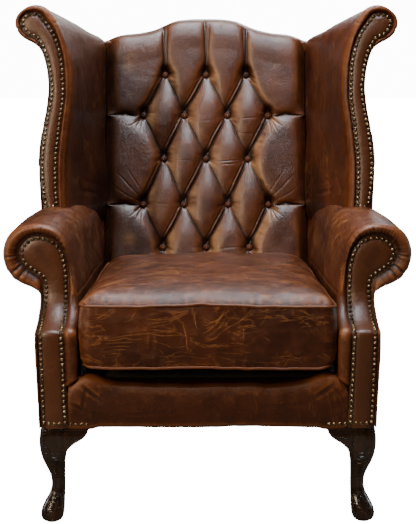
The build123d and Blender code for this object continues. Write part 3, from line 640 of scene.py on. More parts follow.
BEECH = wood("beech_frame", (0.30, 0.18, 0.09), (0.48, 0.32, 0.18), (0.60, 0.43, 0.26))
STEEL = metal("zinc_steel", (0.45, 0.45, 0.44), 0.42)
GLIDE = cloth("glide_nylon", (0.006, 0.005, 0.005), (0.022, 0.019, 0.017), 0.0015, 0.55)

# ------------------------------------------------------------------ outlines (left side, seen from the front)
ARM_NAILS = [(-338.2, 219.6), (-340.0, 300.0), (-341.9, 398.7), (-342.6, 407.4), (-341.6, 430.0), (-340.0, 455.0),
             (-339.4, 476.0), (-339.9, 494.0), (-343.0, 504.3), (-350.6, 512.6), (-359.1, 518.1), (-368.3, 524.1),
             (-376.5, 530.7), (-383.7, 538.6), (-388.0, 548.1), (-389.5, 558.3), (-385.9, 568.6), (-379.8, 576.9),
             (-372.4, 583.4), (-363.9, 587.2), (-354.1, 588.7), (-344.1, 587.8), (-334.4, 584.8), (-324.9, 580.2),
             (-317.1, 572.8), (-310.0, 563.5), (-306.2, 554.6), (-303.3, 543.3), (-301.0, 532.1), (-299.5, 521.2),
             (-299.1, 510.4), (-298.9, 488.4), (-298.3, 466.2), (-299.4, 430.0), (-299.8, 407.0), (-298.5, 371.0),
             (-296.4, 283.0), (-294.0, 217.0)]
S_CURVE = np.array([(0, 200), (0, 300), (0, 403), (1.5, 407), (6, 409.5), (16, 412), (30, 415.5), (45, 421), (60, 429),
                    (72.5, 438.5), (82.5, 450), (89.3, 463), (93.2, 477), (95.3, 495), (96, 515), (96, 560), (96, 600), (96, 640)],
                   float)
ARM_ROLL = [(-351.5, 462.0), (-354.0, 474.0), (-369.0, 483.0), (-391.0, 492.0), (-405.3, 500.0), (-419.5, 516.0),
            (-427.0, 534.0), (-430.0, 554.0), (-428.3, 570.0), (-421.5, 588.0), (-409.5, 603.0), (-395.0, 612.5),
            (-375.0, 618.5), (-352.0, 620.5), (-330.0, 616.5), (-310.0, 604.0), (-296.0, 582.0), (-287.0, 552.0),
            (-283.5, 520.0), (-282.0, 480.0), (-280.0, 440.0), (-279.0, 380.0), (-279.0, 312.0)]
WING_NAILS = [(-337.8, 640.0), (-339.0, 658.6), (-339.8, 691.4), (-339.6, 729.9), (-335.6, 772.8), (-330.9, 812.9),
              (-324.0, 862.3), (-322.4, 882.4), (-322.5, 902.9), (-323.1, 923.2), (-324.3, 943.0), (-327.4, 962.9),
              (-332.2, 982.2), (-338.3, 1001.0), (-346.7, 1019.0), (-358.4, 1036.1), (-364.9, 1044.3),
              (-370.8, 1052.4), (-379.3, 1055.9), (-389.1, 1056.8), (-398.2, 1055.3), (-404.7, 1050.6),
              (-409.4, 1043.6), (-409.5, 1034.6), (-406.4, 1025.8), (-399.8, 1017.7), (-393.3, 1012.4),
              (-383.5, 1008.6), (-376.2, 1003.4), (-365.1, 986.9), (-357.9, 967.5), (-352.8, 948.5),
              (-349.1, 928.9), (-347.2, 909.1), (-346.2, 889.0), (-350.2, 855.7), (-359.3, 809.8),
              (-365.6, 770.0), (-368.7, 729.9), (-368.0, 692.7), (-365.2, 660.2), (-361.8, 640.0)]
WING_EDGE = [(-366.0, 530.0), (-368.0, 560.0), (-370.0, 586.0), (-371.0, 608.0), (-372.3, 627.6), (-374.3, 675.0), (-374.8, 713.8), (-373.0, 749.2), (-368.4, 790.5),
             (-362.1, 829.0), (-356.1, 870.5), (-353.8, 900.1), (-355.8, 929.6), (-363.0, 962.0), (-374.0, 983.0),
             (-386.7, 993.0), (-404.7, 1001.8), (-419.6, 1015.0), (-426.9, 1029.8), (-426.8, 1047.6),
             (-416.2, 1063.6), (-398.3, 1075.2), (-381.8, 1079.2), (-362.5, 1074.5), (-345.0, 1060.0),
             (-331.0, 1038.0), (-321.0, 1014.0), (-313.5, 985.0), (-308.5, 950.0), (-306.5, 905.0), (-308.5, 862.0),
             (-315.0, 813.0), (-319.6, 773.0), (-323.0, 730.0), (-323.5, 690.0), (-322.5, 655.0), (-321.0, 608.0),
             (-323.0, 586.0), (-327.0, 560.0), (-334.0, 530.0)]
WING_SEAM = [(-316.0, 530.0), (-316.0, 560.0), (-316.0, 586.0), (-316.0, 608.0), (-316.0, 627.6), (-315.5, 675.0), (-315.0, 713.8), (-314.0, 749.2), (-312.0, 790.5),
             (-309.0, 829.0), (-306.5, 870.5), (-305.0, 900.1), (-305.5, 929.6), (-307.5, 960.0), (-311.0, 976.0),
             (-314.5, 983.0), (-319.0, 990.0), (-323.0, 997.0), (-325.0, 1004.0), (-323.5, 1011.0), (-318.0, 1017.5),
             (-308.0, 1021.0), (-296.0, 1022.0), (-283.0, 1020.0), (-271.0, 1014.5), (-263.0, 1006.0),
             (-259.0, 994.0), (-257.5, 975.0), (-256.5, 950.0), (-256.0, 905.0), (-255.8, 862.0), (-255.5, 813.0),
             (-255.0, 773.0), (-253.5, 730.0), (-252.0, 690.0), (-250.8, 655.0), (-250.5, 608.0),
             (-253.5, 586.0), (-261.0, 560.0), (-274.0, 530.0)]
WING_REAR = [(-294.0, 530.0), (-294.0, 560.0), (-294.0, 586.0), (-294.0, 608.0), (-294.0, 627.6), (-294.0, 675.0), (-294.0, 713.8), (-294.0, 749.2), (-294.0, 790.5),
             (-294.0, 829.0), (-294.0, 870.5), (-294.0, 900.1), (-294.0, 929.6), (-294.5, 960.0), (-296.0, 976.0),
             (-298.0, 983.0), (-300.5, 989.0), (-302.5, 995.0), (-303.0, 1000.0), (-302.0, 1005.0), (-299.0, 1009.0),
             (-292.0, 1012.0), (-284.0, 1012.5), (-275.0, 1011.0), (-266.0, 1007.0), (-259.0, 1000.0),
             (-255.0, 990.0), (-253.0, 972.0), (-252.0, 950.0), (-251.5, 905.0), (-251.5, 862.0), (-251.0, 813.0),
             (-251.0, 773.0), (-250.8, 730.0), (-250.6, 690.0), (-250.4, 655.0), (-250.4, 608.0),
             (-253.5, 586.0), (-261.0, 560.0), (-274.0, 530.0)]
BACK_TOP = np.array([(-262, 1009.0), (-248.0, 1012.5), (-219.5, 1017.5), (-168.3, 1022.0), (-129.8, 1031.0),
                     (-104.2, 1042.5), (-78.5, 1052.5), (-52.9, 1056.6), (0.0, 1059.0), (52.9, 1056.6), (78.5, 1052.5),
                     (104.2, 1042.5), (129.8, 1031.0), (168.3, 1022.0), (219.5, 1017.5), (248.0, 1012.5), (262, 1009.0)])
ROWS = ((925.5, (-103.5, 1.0, 103.5)), (824.0, (-158.5, -54.5, 54.5, 158.5)), (716.0, (-106.5, 0.5, 106.5)),
        (604.0, (-158.0, -55.5, 55.5, 158.0)), (500.0, (-108.5, 0.5, 108.5)))


def s_depth(z):
    return np.interp(z, S_CURVE[:, 1], S_CURVE[:, 0])


def offset(line, dist):
    p = np.asarray(line, float)
    t = np.gradient(p, axis=0)
    t /= np.linalg.norm(t, axis=1, keepdims=True)
    return p + dist * np.stack([-t[:, 1], t[:, 0]], -1)


def param_curve(pts, u):
    """Points of a smooth curve through pts at fractional indices u."""
    p = np.asarray(pts, float)
    q = np.vstack([2 * p[0] - p[1], p, 2 * p[-1] - p[-2]])
    u = np.clip(np.asarray(u, float), 0, len(p) - 1 - 1e-9)
    i = np.floor(u).astype(int)
    t = (u - i)[:, None]
    p0, p1, p2, p3 = q[i], q[i + 1], q[i + 2], q[i + 3]

    def ln(a, b):
        return np.maximum(np.linalg.norm(b - a, axis=1, keepdims=True), 1e-6) ** 0.5

    a01, a12, a23 = ln(p0, p1), ln(p1, p2), ln(p2, p3)
    m1 = (p2 - p1) + a12 * ((p1 - p0) / a01 - (p2 - p0) / (a01 + a12))
    m2 = (p2 - p1) + a12 * ((p3 - p2) / a23 - (p3 - p1) / (a12 + a23))
    t2, t3 = t * t, t * t * t
    return (2 * t3 - 3 * t2 + 1) * p1 + (t3 - 2 * t2 + t) * m1 + (-2 * t3 + 3 * t2) * p2 + (t3 - t2) * m2


S_CURVE = param_curve(S_CURVE, np.linspace(0, len(S_CURVE) - 1, 260))


def even_params(pts, step):
    u = np.linspace(0, len(pts) - 1, 40 * len(pts))
    c = param_curve(pts, u)
    s = np.r_[0, np.cumsum(np.linalg.norm(np.diff(c, axis=0), axis=1))]
    n = int(round(s[-1] / step)) + 1
    return np.interp(np.linspace(0, s[-1], n), s, u), np.linspace(0, s[-1], n)


def through(C, seg):
    """A smooth grid (rows, n, 3) through rows of control points C (k, n, 3), seg samples to each span."""
    C = np.asarray(C, float)
    Q = np.concatenate([[2 * C[0] - C[1]], C, [2 * C[-1] - C[-2]]])

    def ln(a, b):
        return np.maximum(np.linalg.norm(b - a, axis=-1, keepdims=True), 1e-4) ** 0.5

    out = []
    for i in range(len(C) - 1):
        m = seg if isinstance(seg, int) else seg[i]
        p0, p1, p2, p3 = Q[i], Q[i + 1], Q[i + 2], Q[i + 3]
        a01, a12, a23 = ln(p0, p1), ln(p1, p2), ln(p2, p3)
        m1 = (p2 - p1) + a12 * ((p1 - p0) / a01 - (p2 - p0) / (a01 + a12))
        m2 = (p2 - p1) + a12 * ((p3 - p2) / a23 - (p3 - p1) / (a12 + a23))
        t = np.linspace(0, 1, m, endpoint=False)[:, None, None]
        t2, t3 = t * t, t * t * t
        out.append((2 * t3 - 3 * t2 + 1) * p1 + (t3 - 2 * t2 + t) * m1 + (-2 * t3 + 3 * t2) * p2 + (t3 - t2) * m2)
    out.append(C[-1:])
    return np.concatenate(out)


def nearest_on(line, pts):
    """For each of pts the nearest point of a dense polyline, never running backwards."""
    d = ((pts[:, None, :] - line[None]) ** 2).sum(-1)
    i = np.maximum.accumulate(d.argmin(1))
    k = np.ones(9) / 9
    f = np.convolve(np.pad(i.astype(float), 4, "edge"), k, "valid")
    a = np.arange(len(line))
    return np.stack([np.interp(f, a, line[:, c]) for c in (0, 1)], -1)


def facing_out(N, G, ref):
    """Normals N of grid G turned away from ref."""
    s = np.sign((N * (G - ref)).sum(-1).mean())
    return N * (s if s else 1)


def to_m(G):
    return np.stack([G[..., 0], G[..., 1] - Y0, G[..., 2]], -1) * 0.001


def grid_object(name, G, mat, pair=True, flip=False, **kw):
    """An object from a grid of points in design millimetres; pair makes the left one and its mirror image."""
    F = grid_faces(G.shape[0], G.shape[1], flip=flip, close_m=kw.pop("close_m", False))
    V = to_m(G).reshape(-1, 3)
    if "cap" in kw:
        kw["tris"] = kw.pop("cap")
    return both(name, V, F, mat, **kw) if pair else make(name, V, F, mat, **kw)


def done(objs, slot, *nodes, padded=None):
    objs = objs if isinstance(objs, list) else [objs]
    for o in objs:
        side = "left_" if o.name.startswith("left_") else "right_" if o.name.startswith("right_") else ""
        own = [n if n in NODES else side + n for n in nodes]
        if own:
            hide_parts(*own)


def d_in(z):
    return D_SEAT + SLOPE_IN * np.maximum(np.asarray(z, float) - 457.0, 0)


# ------------------------------------------------------------------ buttoned back
TH_IN = math.atan(SLOPE_IN)
TOP_DENSE = catmull(BACK_TOP, 400)


def z_top(x):
    return np.interp(x, TOP_DENSE[:, 0], TOP_DENSE[:, 1])


def y_of(z):
    """Length up the inside back from z = 380 (mm)."""
    z = np.asarray(z, float)
    return np.where(z < 457, z - 380, 77 + (z - 457) * math.hypot(1, SLOPE_IN))


def solve_membrane(h0, W, hc, dx, length, sweeps=260):
    h = np.where(W > 0, hc, h0)
    a, b = 1 / dx ** 2, 1 / length ** 2
    den = 4 * a + b + W
    ii, jj = np.indices(h.shape)
    red = ((ii + jj) % 2 == 0)
    for k in range(sweeps):
        for m in (red, ~red):
            p = np.pad(h, 1, "edge")
            nb = p[:-2, 1:-1] + p[2:, 1:-1] + p[1:-1, :-2] + p[1:-1, 2:]
            new = (nb * a + h0 * b + W * hc) / den
            h = np.where(m, h + 1.75 * (new - h), h)
    return h


def buttoned_back():
    dx = 1.7
    xs = np.linspace(-262, 262, int(524 / dx) + 1)
    zt = z_top(xs)
    nplane = int(y_of(1000) / dx)
    rows = []
    t = np.linspace(0, 1, nplane)[:, None]
    y1 = y_of(zt - 62)
    y = t * y1
    z = np.where(y < 77, 380 + y, 457 + (y - 77) / math.hypot(1, SLOPE_IN))
    plane = np.stack([np.broadcast_to(xs, z.shape), d_in(z), z], -1)

    def row(d, zz):
        return np.stack([xs, np.broadcast_to(d, xs.shape), zz], -1)

    C = [plane[-8], plane[-1], row(d_in(zt - 26) - 1.5, zt - 26), row(d_in(zt - 6) + 4, zt - 8),
         row(d_in(zt) + 22, zt), row(d_out(zt) - 30, zt + 0.5), row(d_out(zt) - 11, zt - 6),
         row(d_out(zt - 22) - 2, zt - 22), row(d_out(zt - 46) - 1.5, zt - 46), row(d_out(zt - 56) - 7, zt - 56)]
    roll = through(C, [1, 22, 14, 14, 24, 12, 12, 14, 8])[1:]
    G = np.concatenate([plane, roll[1:]])
    ds = np.linalg.norm(np.diff(G, axis=0), axis=-1)
    Y = np.concatenate([np.zeros((1, len(xs))), np.cumsum(ds, 0)])
    X = np.broadcast_to(xs, Y.shape)
    ytop = y_of(zt)[None] + 14          # where the roll turns over
    # pleats: line, depth at the ends and in the middle, the side that overlaps
    W = np.zeros(X.shape)
    hc = np.zeros(X.shape)
    extra = np.zeros(X.shape)
    painted_shade_and_mottle = np.zeros(X.shape)
    wobble = noise(np.stack([X, Y, 0 * X], -1), 34, 5) * 1.6
    wobble2 = noise(np.stack([X, Y, 0 * X + 50], -1), 34, 6) * 1.6
    Xw, Yw = X + wobble, Y + wobble2

    def hold(mask_w, target):
        nonlocal W, hc
        w = mask_w / dx ** 2
        hc = np.where(W + w > 0, (W * hc + w * target) / np.maximum(W + w, 1e-12), hc)
        W = W + w

    def pleat(a, b, e0, mid, e1, over=0.0, wide=1.3, power=0.8, cut=3.4, fade=0.0):
        """A pleat from a to b (x, y), lapped on its upper side by over mm."""
        nonlocal extra, painted_shade_and_mottle
        d, t = seg_dist(Xw, Yw, a, b)
        L = math.hypot(b[0] - a[0], b[1] - a[1])
        k = np.sin(np.pi * t) ** power
        dep = (e0 + (e1 - e0) * t) * (1 - k) + mid * k
        hold(6.0 * np.exp(-(d / wide) ** 2), dep)
        side = ((Xw - a[0]) * (b[1] - a[1]) - (Yw - a[1]) * (b[0] - a[0])) / L
        if b[1] < a[1]:
            side = -side
        up = -side if (b[0] - a[0]) * (b[1] - a[1]) > 0 else -side
        if over:
            # the lapped edge: a narrow raised strip beside the fold, and a soft second line
            kt = np.sin(np.pi * np.clip(t * 1.05, 0, 1)) ** 0.7 * (0.45 + 0.55 * (1 - t if a[1] > b[1] else t))
            extra = extra + over * 0.55 * kt * np.exp(-((up - 4.6) / 2.3) ** 2) - over * 0.30 * kt * np.exp(-((up - 10.0) / 2.0) ** 2)
        kk = k * (1 - fade * smoothstep(0.35, 1.0, t))
        extra = extra - cut * kk * np.exp(-(d / 1.7) ** 2)
        # painted shade along the fold
        painted_shade_and_mottle = np.maximum(painted_shade_and_mottle, np.exp(-(d / 2.1) ** 2) * (0.25 + 0.75 * kk) * min(1.0, cut / 3.0))

    B = [(x, float(y_of(zz))) for zz, r in ROWS for x in r]
    rows_ = []
    i = 0
    for zz, r in ROWS:
        rows_.append(B[i:i + len(r)])
        i += len(r)
    for upper, lower in zip(rows_, rows_[1:]):
        for a in upper:
            for b in lower:
                if abs(a[0] - b[0]) < 70:
                    a2, b2 = (a[0] + 0.06 * (b[0] - a[0]), a[1] - 5), (b[0], b[1] + 9)
                    if b[0] < a[0]:
                        pleat(a2, b2, -19, -14.5, -20, over=6.0, cut=3.8)
                    else:
                        pleat(a2, b2, -18, -9.5, -20, over=0.0, cut=2.2, fade=0.6)
    # straight pleats up to the top edge: one fine line beside a softer one
    for a, tops in zip(rows_[0], (((-5.0, 26, 1.7), (5.5, 12, 1.5)), ((-3.5, 28, 2.0), (7.0, 6, 0.9)), ((1.5, 30, 2.2), (-9.0, 14, 0.9)))):
        for k_, (lean, up_, cut_) in enumerate(tops):
            yt = float(np.interp(a[0] + lean, xs, ytop[0]))
            end = (a[0] + lean, yt - 26 + up_)
            pleat((a[0] + 0.25 * lean, a[1] + 9), end, -19, -4.5 if k_ == 0 else -2.5, 1.5, power=0.9, cut=0.62 * cut_, fade=0.7)
    for ri in (1, 3):
        for a, sgn in ((rows_[ri][0], -1), (rows_[ri][-1], 1)):
            m = (sgn * 203, a[1] + 7)
            e = (sgn * 254, a[1] + 2)
            pleat(a, m, -19, -8, -8, power=0.5, cut=4.0, wide=1.4)
            pleat(m, e, -8, -9, -18, power=0.5, cut=4.0, wide=1.4)
            for ox_, oy_, px_, py_, dd_ in ((12, -8, 36, -24, 2.0), (9, -12, 24, -40, 1.0), (2, -16, 6, -44, 0.9), (14, 5, 34, 16, 0.8)):
                d, t = seg_dist(Xw, Yw, (a[0] + sgn * ox_, a[1] + oy_), (a[0] + sgn * px_, a[1] + py_))
                extra = extra - dd_ * np.exp(-(d / 1.6) ** 2) * (1 - t) ** 0.6
    # fine lines drawn across between neighbours
    for x0, y0, x1, y1, dd_ in ((12, 0, 92, 3, 1.3), (16, -9, 96, -4, 1.0), (70, 108, 140, 116, 0.8), (64, 74, 150, 70, 0.7),
                                (-92, 6, -22, 2, 0.5), (-40, 104, 36, 108, 0.5), (-150, -106, -84, -110, 0.6), (24, -222, 92, -216, 0.8)):
        y0, y1 = y0 + rows_[2][1][1], y1 + rows_[2][1][1]
        d, t = seg_dist(Xw, Yw, (x0, y0), (x1, y1))
        extra = extra - dd_ * np.exp(-(d / 1.5) ** 2) * np.sin(np.pi * t) ** 0.7
    # faint pulls from the lower outer buttons towards the seat
    for sgn in (-1, 1):
        for x0, y0, x1, y1, dd_ in ((150, 14, 232, 96, 1.0), (142, 18, 205, 108, 0.8), (158, 6, 240, 60, 0.8)):
            d, t = seg_dist(Xw, Yw, (sgn * x0, y0 + rows_[3][0][1]), (sgn * x1, y1 + rows_[3][0][1]))
            extra = extra - dd_ * np.exp(-(d / 2.0) ** 2) * np.sin(np.pi * t) ** 0.9
    for a in rows_[4]:
        pleat((a[0], 8), a, -12, -13, -19, over=2.0)
    rad = np.zeros(X.shape)
    for n_, (bx, by) in enumerate(B):
        r = np.hypot(X - bx, (Y - by))
        hold(8.0 * (r < 8.5), -22.5)
        th = np.arctan2(Y - by, X - bx)
        lob = noise(np.stack([np.cos(th) * 2.6, np.sin(th) * 2.6, r / 60 + n_ * 7.3], -1), 1.0, 31)
        lob2 = noise(np.stack([np.cos(th) * 4.6, np.sin(th) * 4.6, r / 40 + n_ * 3.3], -1), 1.0, 37)
        fade = np.exp(-np.maximum(r - 11, 0) / 14) * smoothstep(7, 13, r) * (0.55 + 0.45 * np.abs(np.cos(th)))
        rad += (1.8 * lob + 1.3 * lob2) * fade
        # painted shade in the pit round each button
        painted_shade_and_mottle = np.maximum(painted_shade_and_mottle, np.exp(-(np.maximum(r - 8.0, 0) / 2.2) ** 2))
        # painted shadow above each button, where the pillow above hangs over it
        painted_shade_and_mottle = np.maximum(painted_shade_and_mottle, 0.97 * np.exp(-((X - bx) / (16.5 - 0.16 * np.clip(Y - by, 0, 50))) ** 2
                                              - (np.maximum(np.abs(Y - by - 16) - 10, 0) / 12.5) ** 2))
    on_roll = smoothstep(-34, 10, Y - ytop)
    edge = np.abs(X) > 250.5
    hold(np.where(edge, 6.0, 0), np.where(on_roll > 0.5, -5.0, -24.0 - 14.0 * smoothstep(250, 258, np.abs(X)) * (1 - on_roll)))
    P3 = np.stack([X, Y, 0 * X], -1)
    # a taut pillow between the pleats, held down where the panel is wide
    h0 = (86.0 + 6.0 * noise(P3, 80, 3)) * (1 - on_roll) + 5.0 * on_roll
    h = solve_membrane(h0, W, hc, dx, 62.0, 420)
    h = np.where(h > -3, -3 + 7.5 * (1 - np.exp(-(h + 3) / 7.5)), h)
    # painted shade towards the seams with the wings, stronger on the left
    painted_shade_and_mottle = np.maximum(painted_shade_and_mottle, np.where(X < 0, 0.90, 0.80) * smoothstep(np.where(X < 0, 180, 216), np.where(X < 0, 246, 256), np.abs(X))
                      * (1 - 0.8 * smoothstep(-60, 0, Y - ytop)))
    # painted shadow cast by the left wing on the upper left pillows
    low_side = (X + 252) * 0.893 + (Y - float(y_of(1006))) * 0.45
    painted_shade_and_mottle = np.maximum(painted_shade_and_mottle, 0.62 * smoothstep(14, -22, low_side + 5 * noise(P3, 40, 17)) * (X < -120) * smoothstep(float(y_of(800)), float(y_of(836)), Y))
    # painted highlight: warm golden streaks on the pillows' left-facing slopes, and a few painted golden spots,
    # standing in for the reflection of the warm lamp on the left
    gx = np.gradient(h, axis=1) / dx
    for r_ in (1, 2, 3):
        for ax_ in (0, 1):
            gx = (gx + np.roll(gx, r_, ax_) + np.roll(gx, -r_, ax_)) / 3
    gx = gx / np.percentile(gx[gx > 0.02], 88)
    painted_warm_highlight = smoothstep(0.22, 0.95, gx) * (1 - 0.6 * smoothstep(1.10, 1.45, gx))
    painted_warm_highlight = painted_warm_highlight * smoothstep(230, 205, np.abs(X))
    for px_, pz_, rx_, ry_, k_ in ((-204, 962, 17, 24, 0.55), (-197, 536, 18, 26, 0.55), (60, 470, 20, 20, 0.3)):
        painted_warm_highlight = np.maximum(painted_warm_highlight, k_ * np.exp(-((X - px_) / rx_) ** 2 - ((Y - float(y_of(pz_))) / ry_) ** 2))
    streak = noise(P3 * [0.28, 1, 1], 6.5, 20)
    painted_warm_highlight = painted_warm_highlight * (1 - painted_shade_and_mottle) ** 2 * (1 - smoothstep(-60, -10, Y - ytop)) * (0.80 + 0.55 * noise(P3, 30, 18) + 0.42 * streak)
    painted_warm_highlight = np.clip(painted_warm_highlight, 0, 1) * 0.68
    painted_shade_and_mottle = np.maximum(painted_shade_and_mottle, 0.42 * smoothstep(0.0, 0.55, noise(P3, 46, 19)) * smoothstep(130, 170, np.abs(X)) * (1 - smoothstep(-90, -30, Y - ytop)))
    sag = np.clip(h + 20, 0, 26) * 0.52 * (1 - smoothstep(-70, -10, Y - ytop)) * smoothstep(20, 70, Y)
    h = h + extra * 1.0 + rad * (1 - on_roll)
    for bx, by in B:
        # the hollow above each button
        h = h - 5.5 * np.exp(-((X - bx) / 10.5) ** 2 - ((Y - by - 15.5) / 9.5) ** 2) * (1 - on_roll)
    h += 0.45 * noise(P3, 34, 11) + 0.10 * noise(P3, 13, 12) + 0.05 * noise(P3, 6, 13)
    N = facing_out(normals(G), G, np.array([0, 780.0, 700.0]))
    # gravity: every pillow sags over the one below
    down = np.array([0.0, -math.sin(TH_IN), -math.cos(TH_IN)])
    G = G + N * h[..., None] + down * sag[..., None]
    o = grid_object("buttoned_back", G, L_BACK, pair=False, flip=True,
                    extra={"painted_shade_and_mottle": painted_shade_and_mottle.ravel(), "painted_warm_highlight": painted_warm_highlight.ravel()})
    done(o, "leather_back", "inside_back_cover", "back_padding", padded=0.75)
    # buttons
    th = np.linspace(0, 2 * np.pi, 36, endpoint=False)
    VV, FF, TT = [], [], []
    n_in = np.array([0, -math.cos(TH_IN), math.sin(TH_IN)])
    ux, uy = np.array([1.0, 0, 0]), np.array([0, math.sin(TH_IN), math.cos(TH_IN)])
    off = 0
    bi = 0
    for zz, r_ in ROWS:
        for bx in r_:
            c = np.array([bx, float(d_in(zz)), zz]) - n_in * 22.0
            tilt = rng.normal(0, 0.06, 2)
            rr = np.array([8.4, 8.7, 8.4, 7.5, 5.9, 3.9, 2.0])
            hh = np.array([-4.0, 0.2, 2.0, 3.7, 4.9, 5.6, 5.9])
            fold = 1 + 0.018 * noise(np.stack([np.cos(th) * 3, np.sin(th) * 3, th * 0 + bi], -1), 1.0, 3)
            ring = (rr[:, None, None] * (np.cos(th)[None, :, None] * ux + np.sin(th)[None, :, None] * uy)
                    * np.where(np.arange(7) < 4, 1, 0)[:, None, None] * fold[None, :, None]
                    + rr[:, None, None] * (np.cos(th)[None, :, None] * ux + np.sin(th)[None, :, None] * uy)
                    * np.where(np.arange(7) < 4, 0, 1)[:, None, None])
            ht = hh[:, None] + rr[:, None] * (tilt[0] * np.cos(th) + tilt[1] * np.sin(th))[None]
            P_ = c + ring + ht[..., None] * n_in
            V = np.vstack([P_.reshape(-1, 3), (c + n_in * 6.0)[None]])
            F = grid_faces(7, 36, close_m=True)
            T = np.array([(7 * 36, 6 * 36 + k, 6 * 36 + (k + 1) % 36) for k in range(36)])
            VV.append(V)
            FF.append(F + off)
            TT.append(T + off)
            off += len(V)
            bi += 1
    V = to_m(np.vstack(VV))
    o = make("back_button_tops", V, np.vstack(FF), L_BUTTON, tris=np.vstack(TT))
    done(o, "leather_back", "back_buttons")


buttoned_back()


# ------------------------------------------------------------------ wings
def section(F, E, front, n_dir, push, end, under=3.0):
    """Control rows from under the facing's edge F, round the stuffed front edge, to the side at E.
    front is the depth of the facing there, n_dir its outward direction (d, z), push how far the edge swells."""
    v = E - F
    L = np.linalg.norm(v, axis=1)
    u = v / np.maximum(L, 1e-6)[:, None]
    g = np.clip(L / 14.0, 0.0, 1.0)
    rows = []
    for r, add, dep in ((0.0, -under, -5.0), (0.0, -0.3, -1.5), (0.10, 0.8, 1.0), (0.34, 0, 1.0), (0.66, 0, 0.86), (0.90, 0, 0.30),
                        (1.0, 0, -0.75)):
        p = F + v * r + u * add
        if dep in (-5.0, -1.5):
            h = np.full(len(F), dep)
        elif r == 0.10:
            h = 1.6 + (push * 0.55) * g
        elif r == 0.34:
            h = 1.8 + push * g
        elif r == 0.66:
            h = 1.2 + push * 0.80 * g
        elif r == 0.90:
            h = -1.5 + push * 0.25 * g
        else:
            h = -end
        rows.append(np.stack([p[:, 0], front + n_dir[:, 0] * h, p[:, 1] + n_dir[:, 1] * h], -1))
    return rows


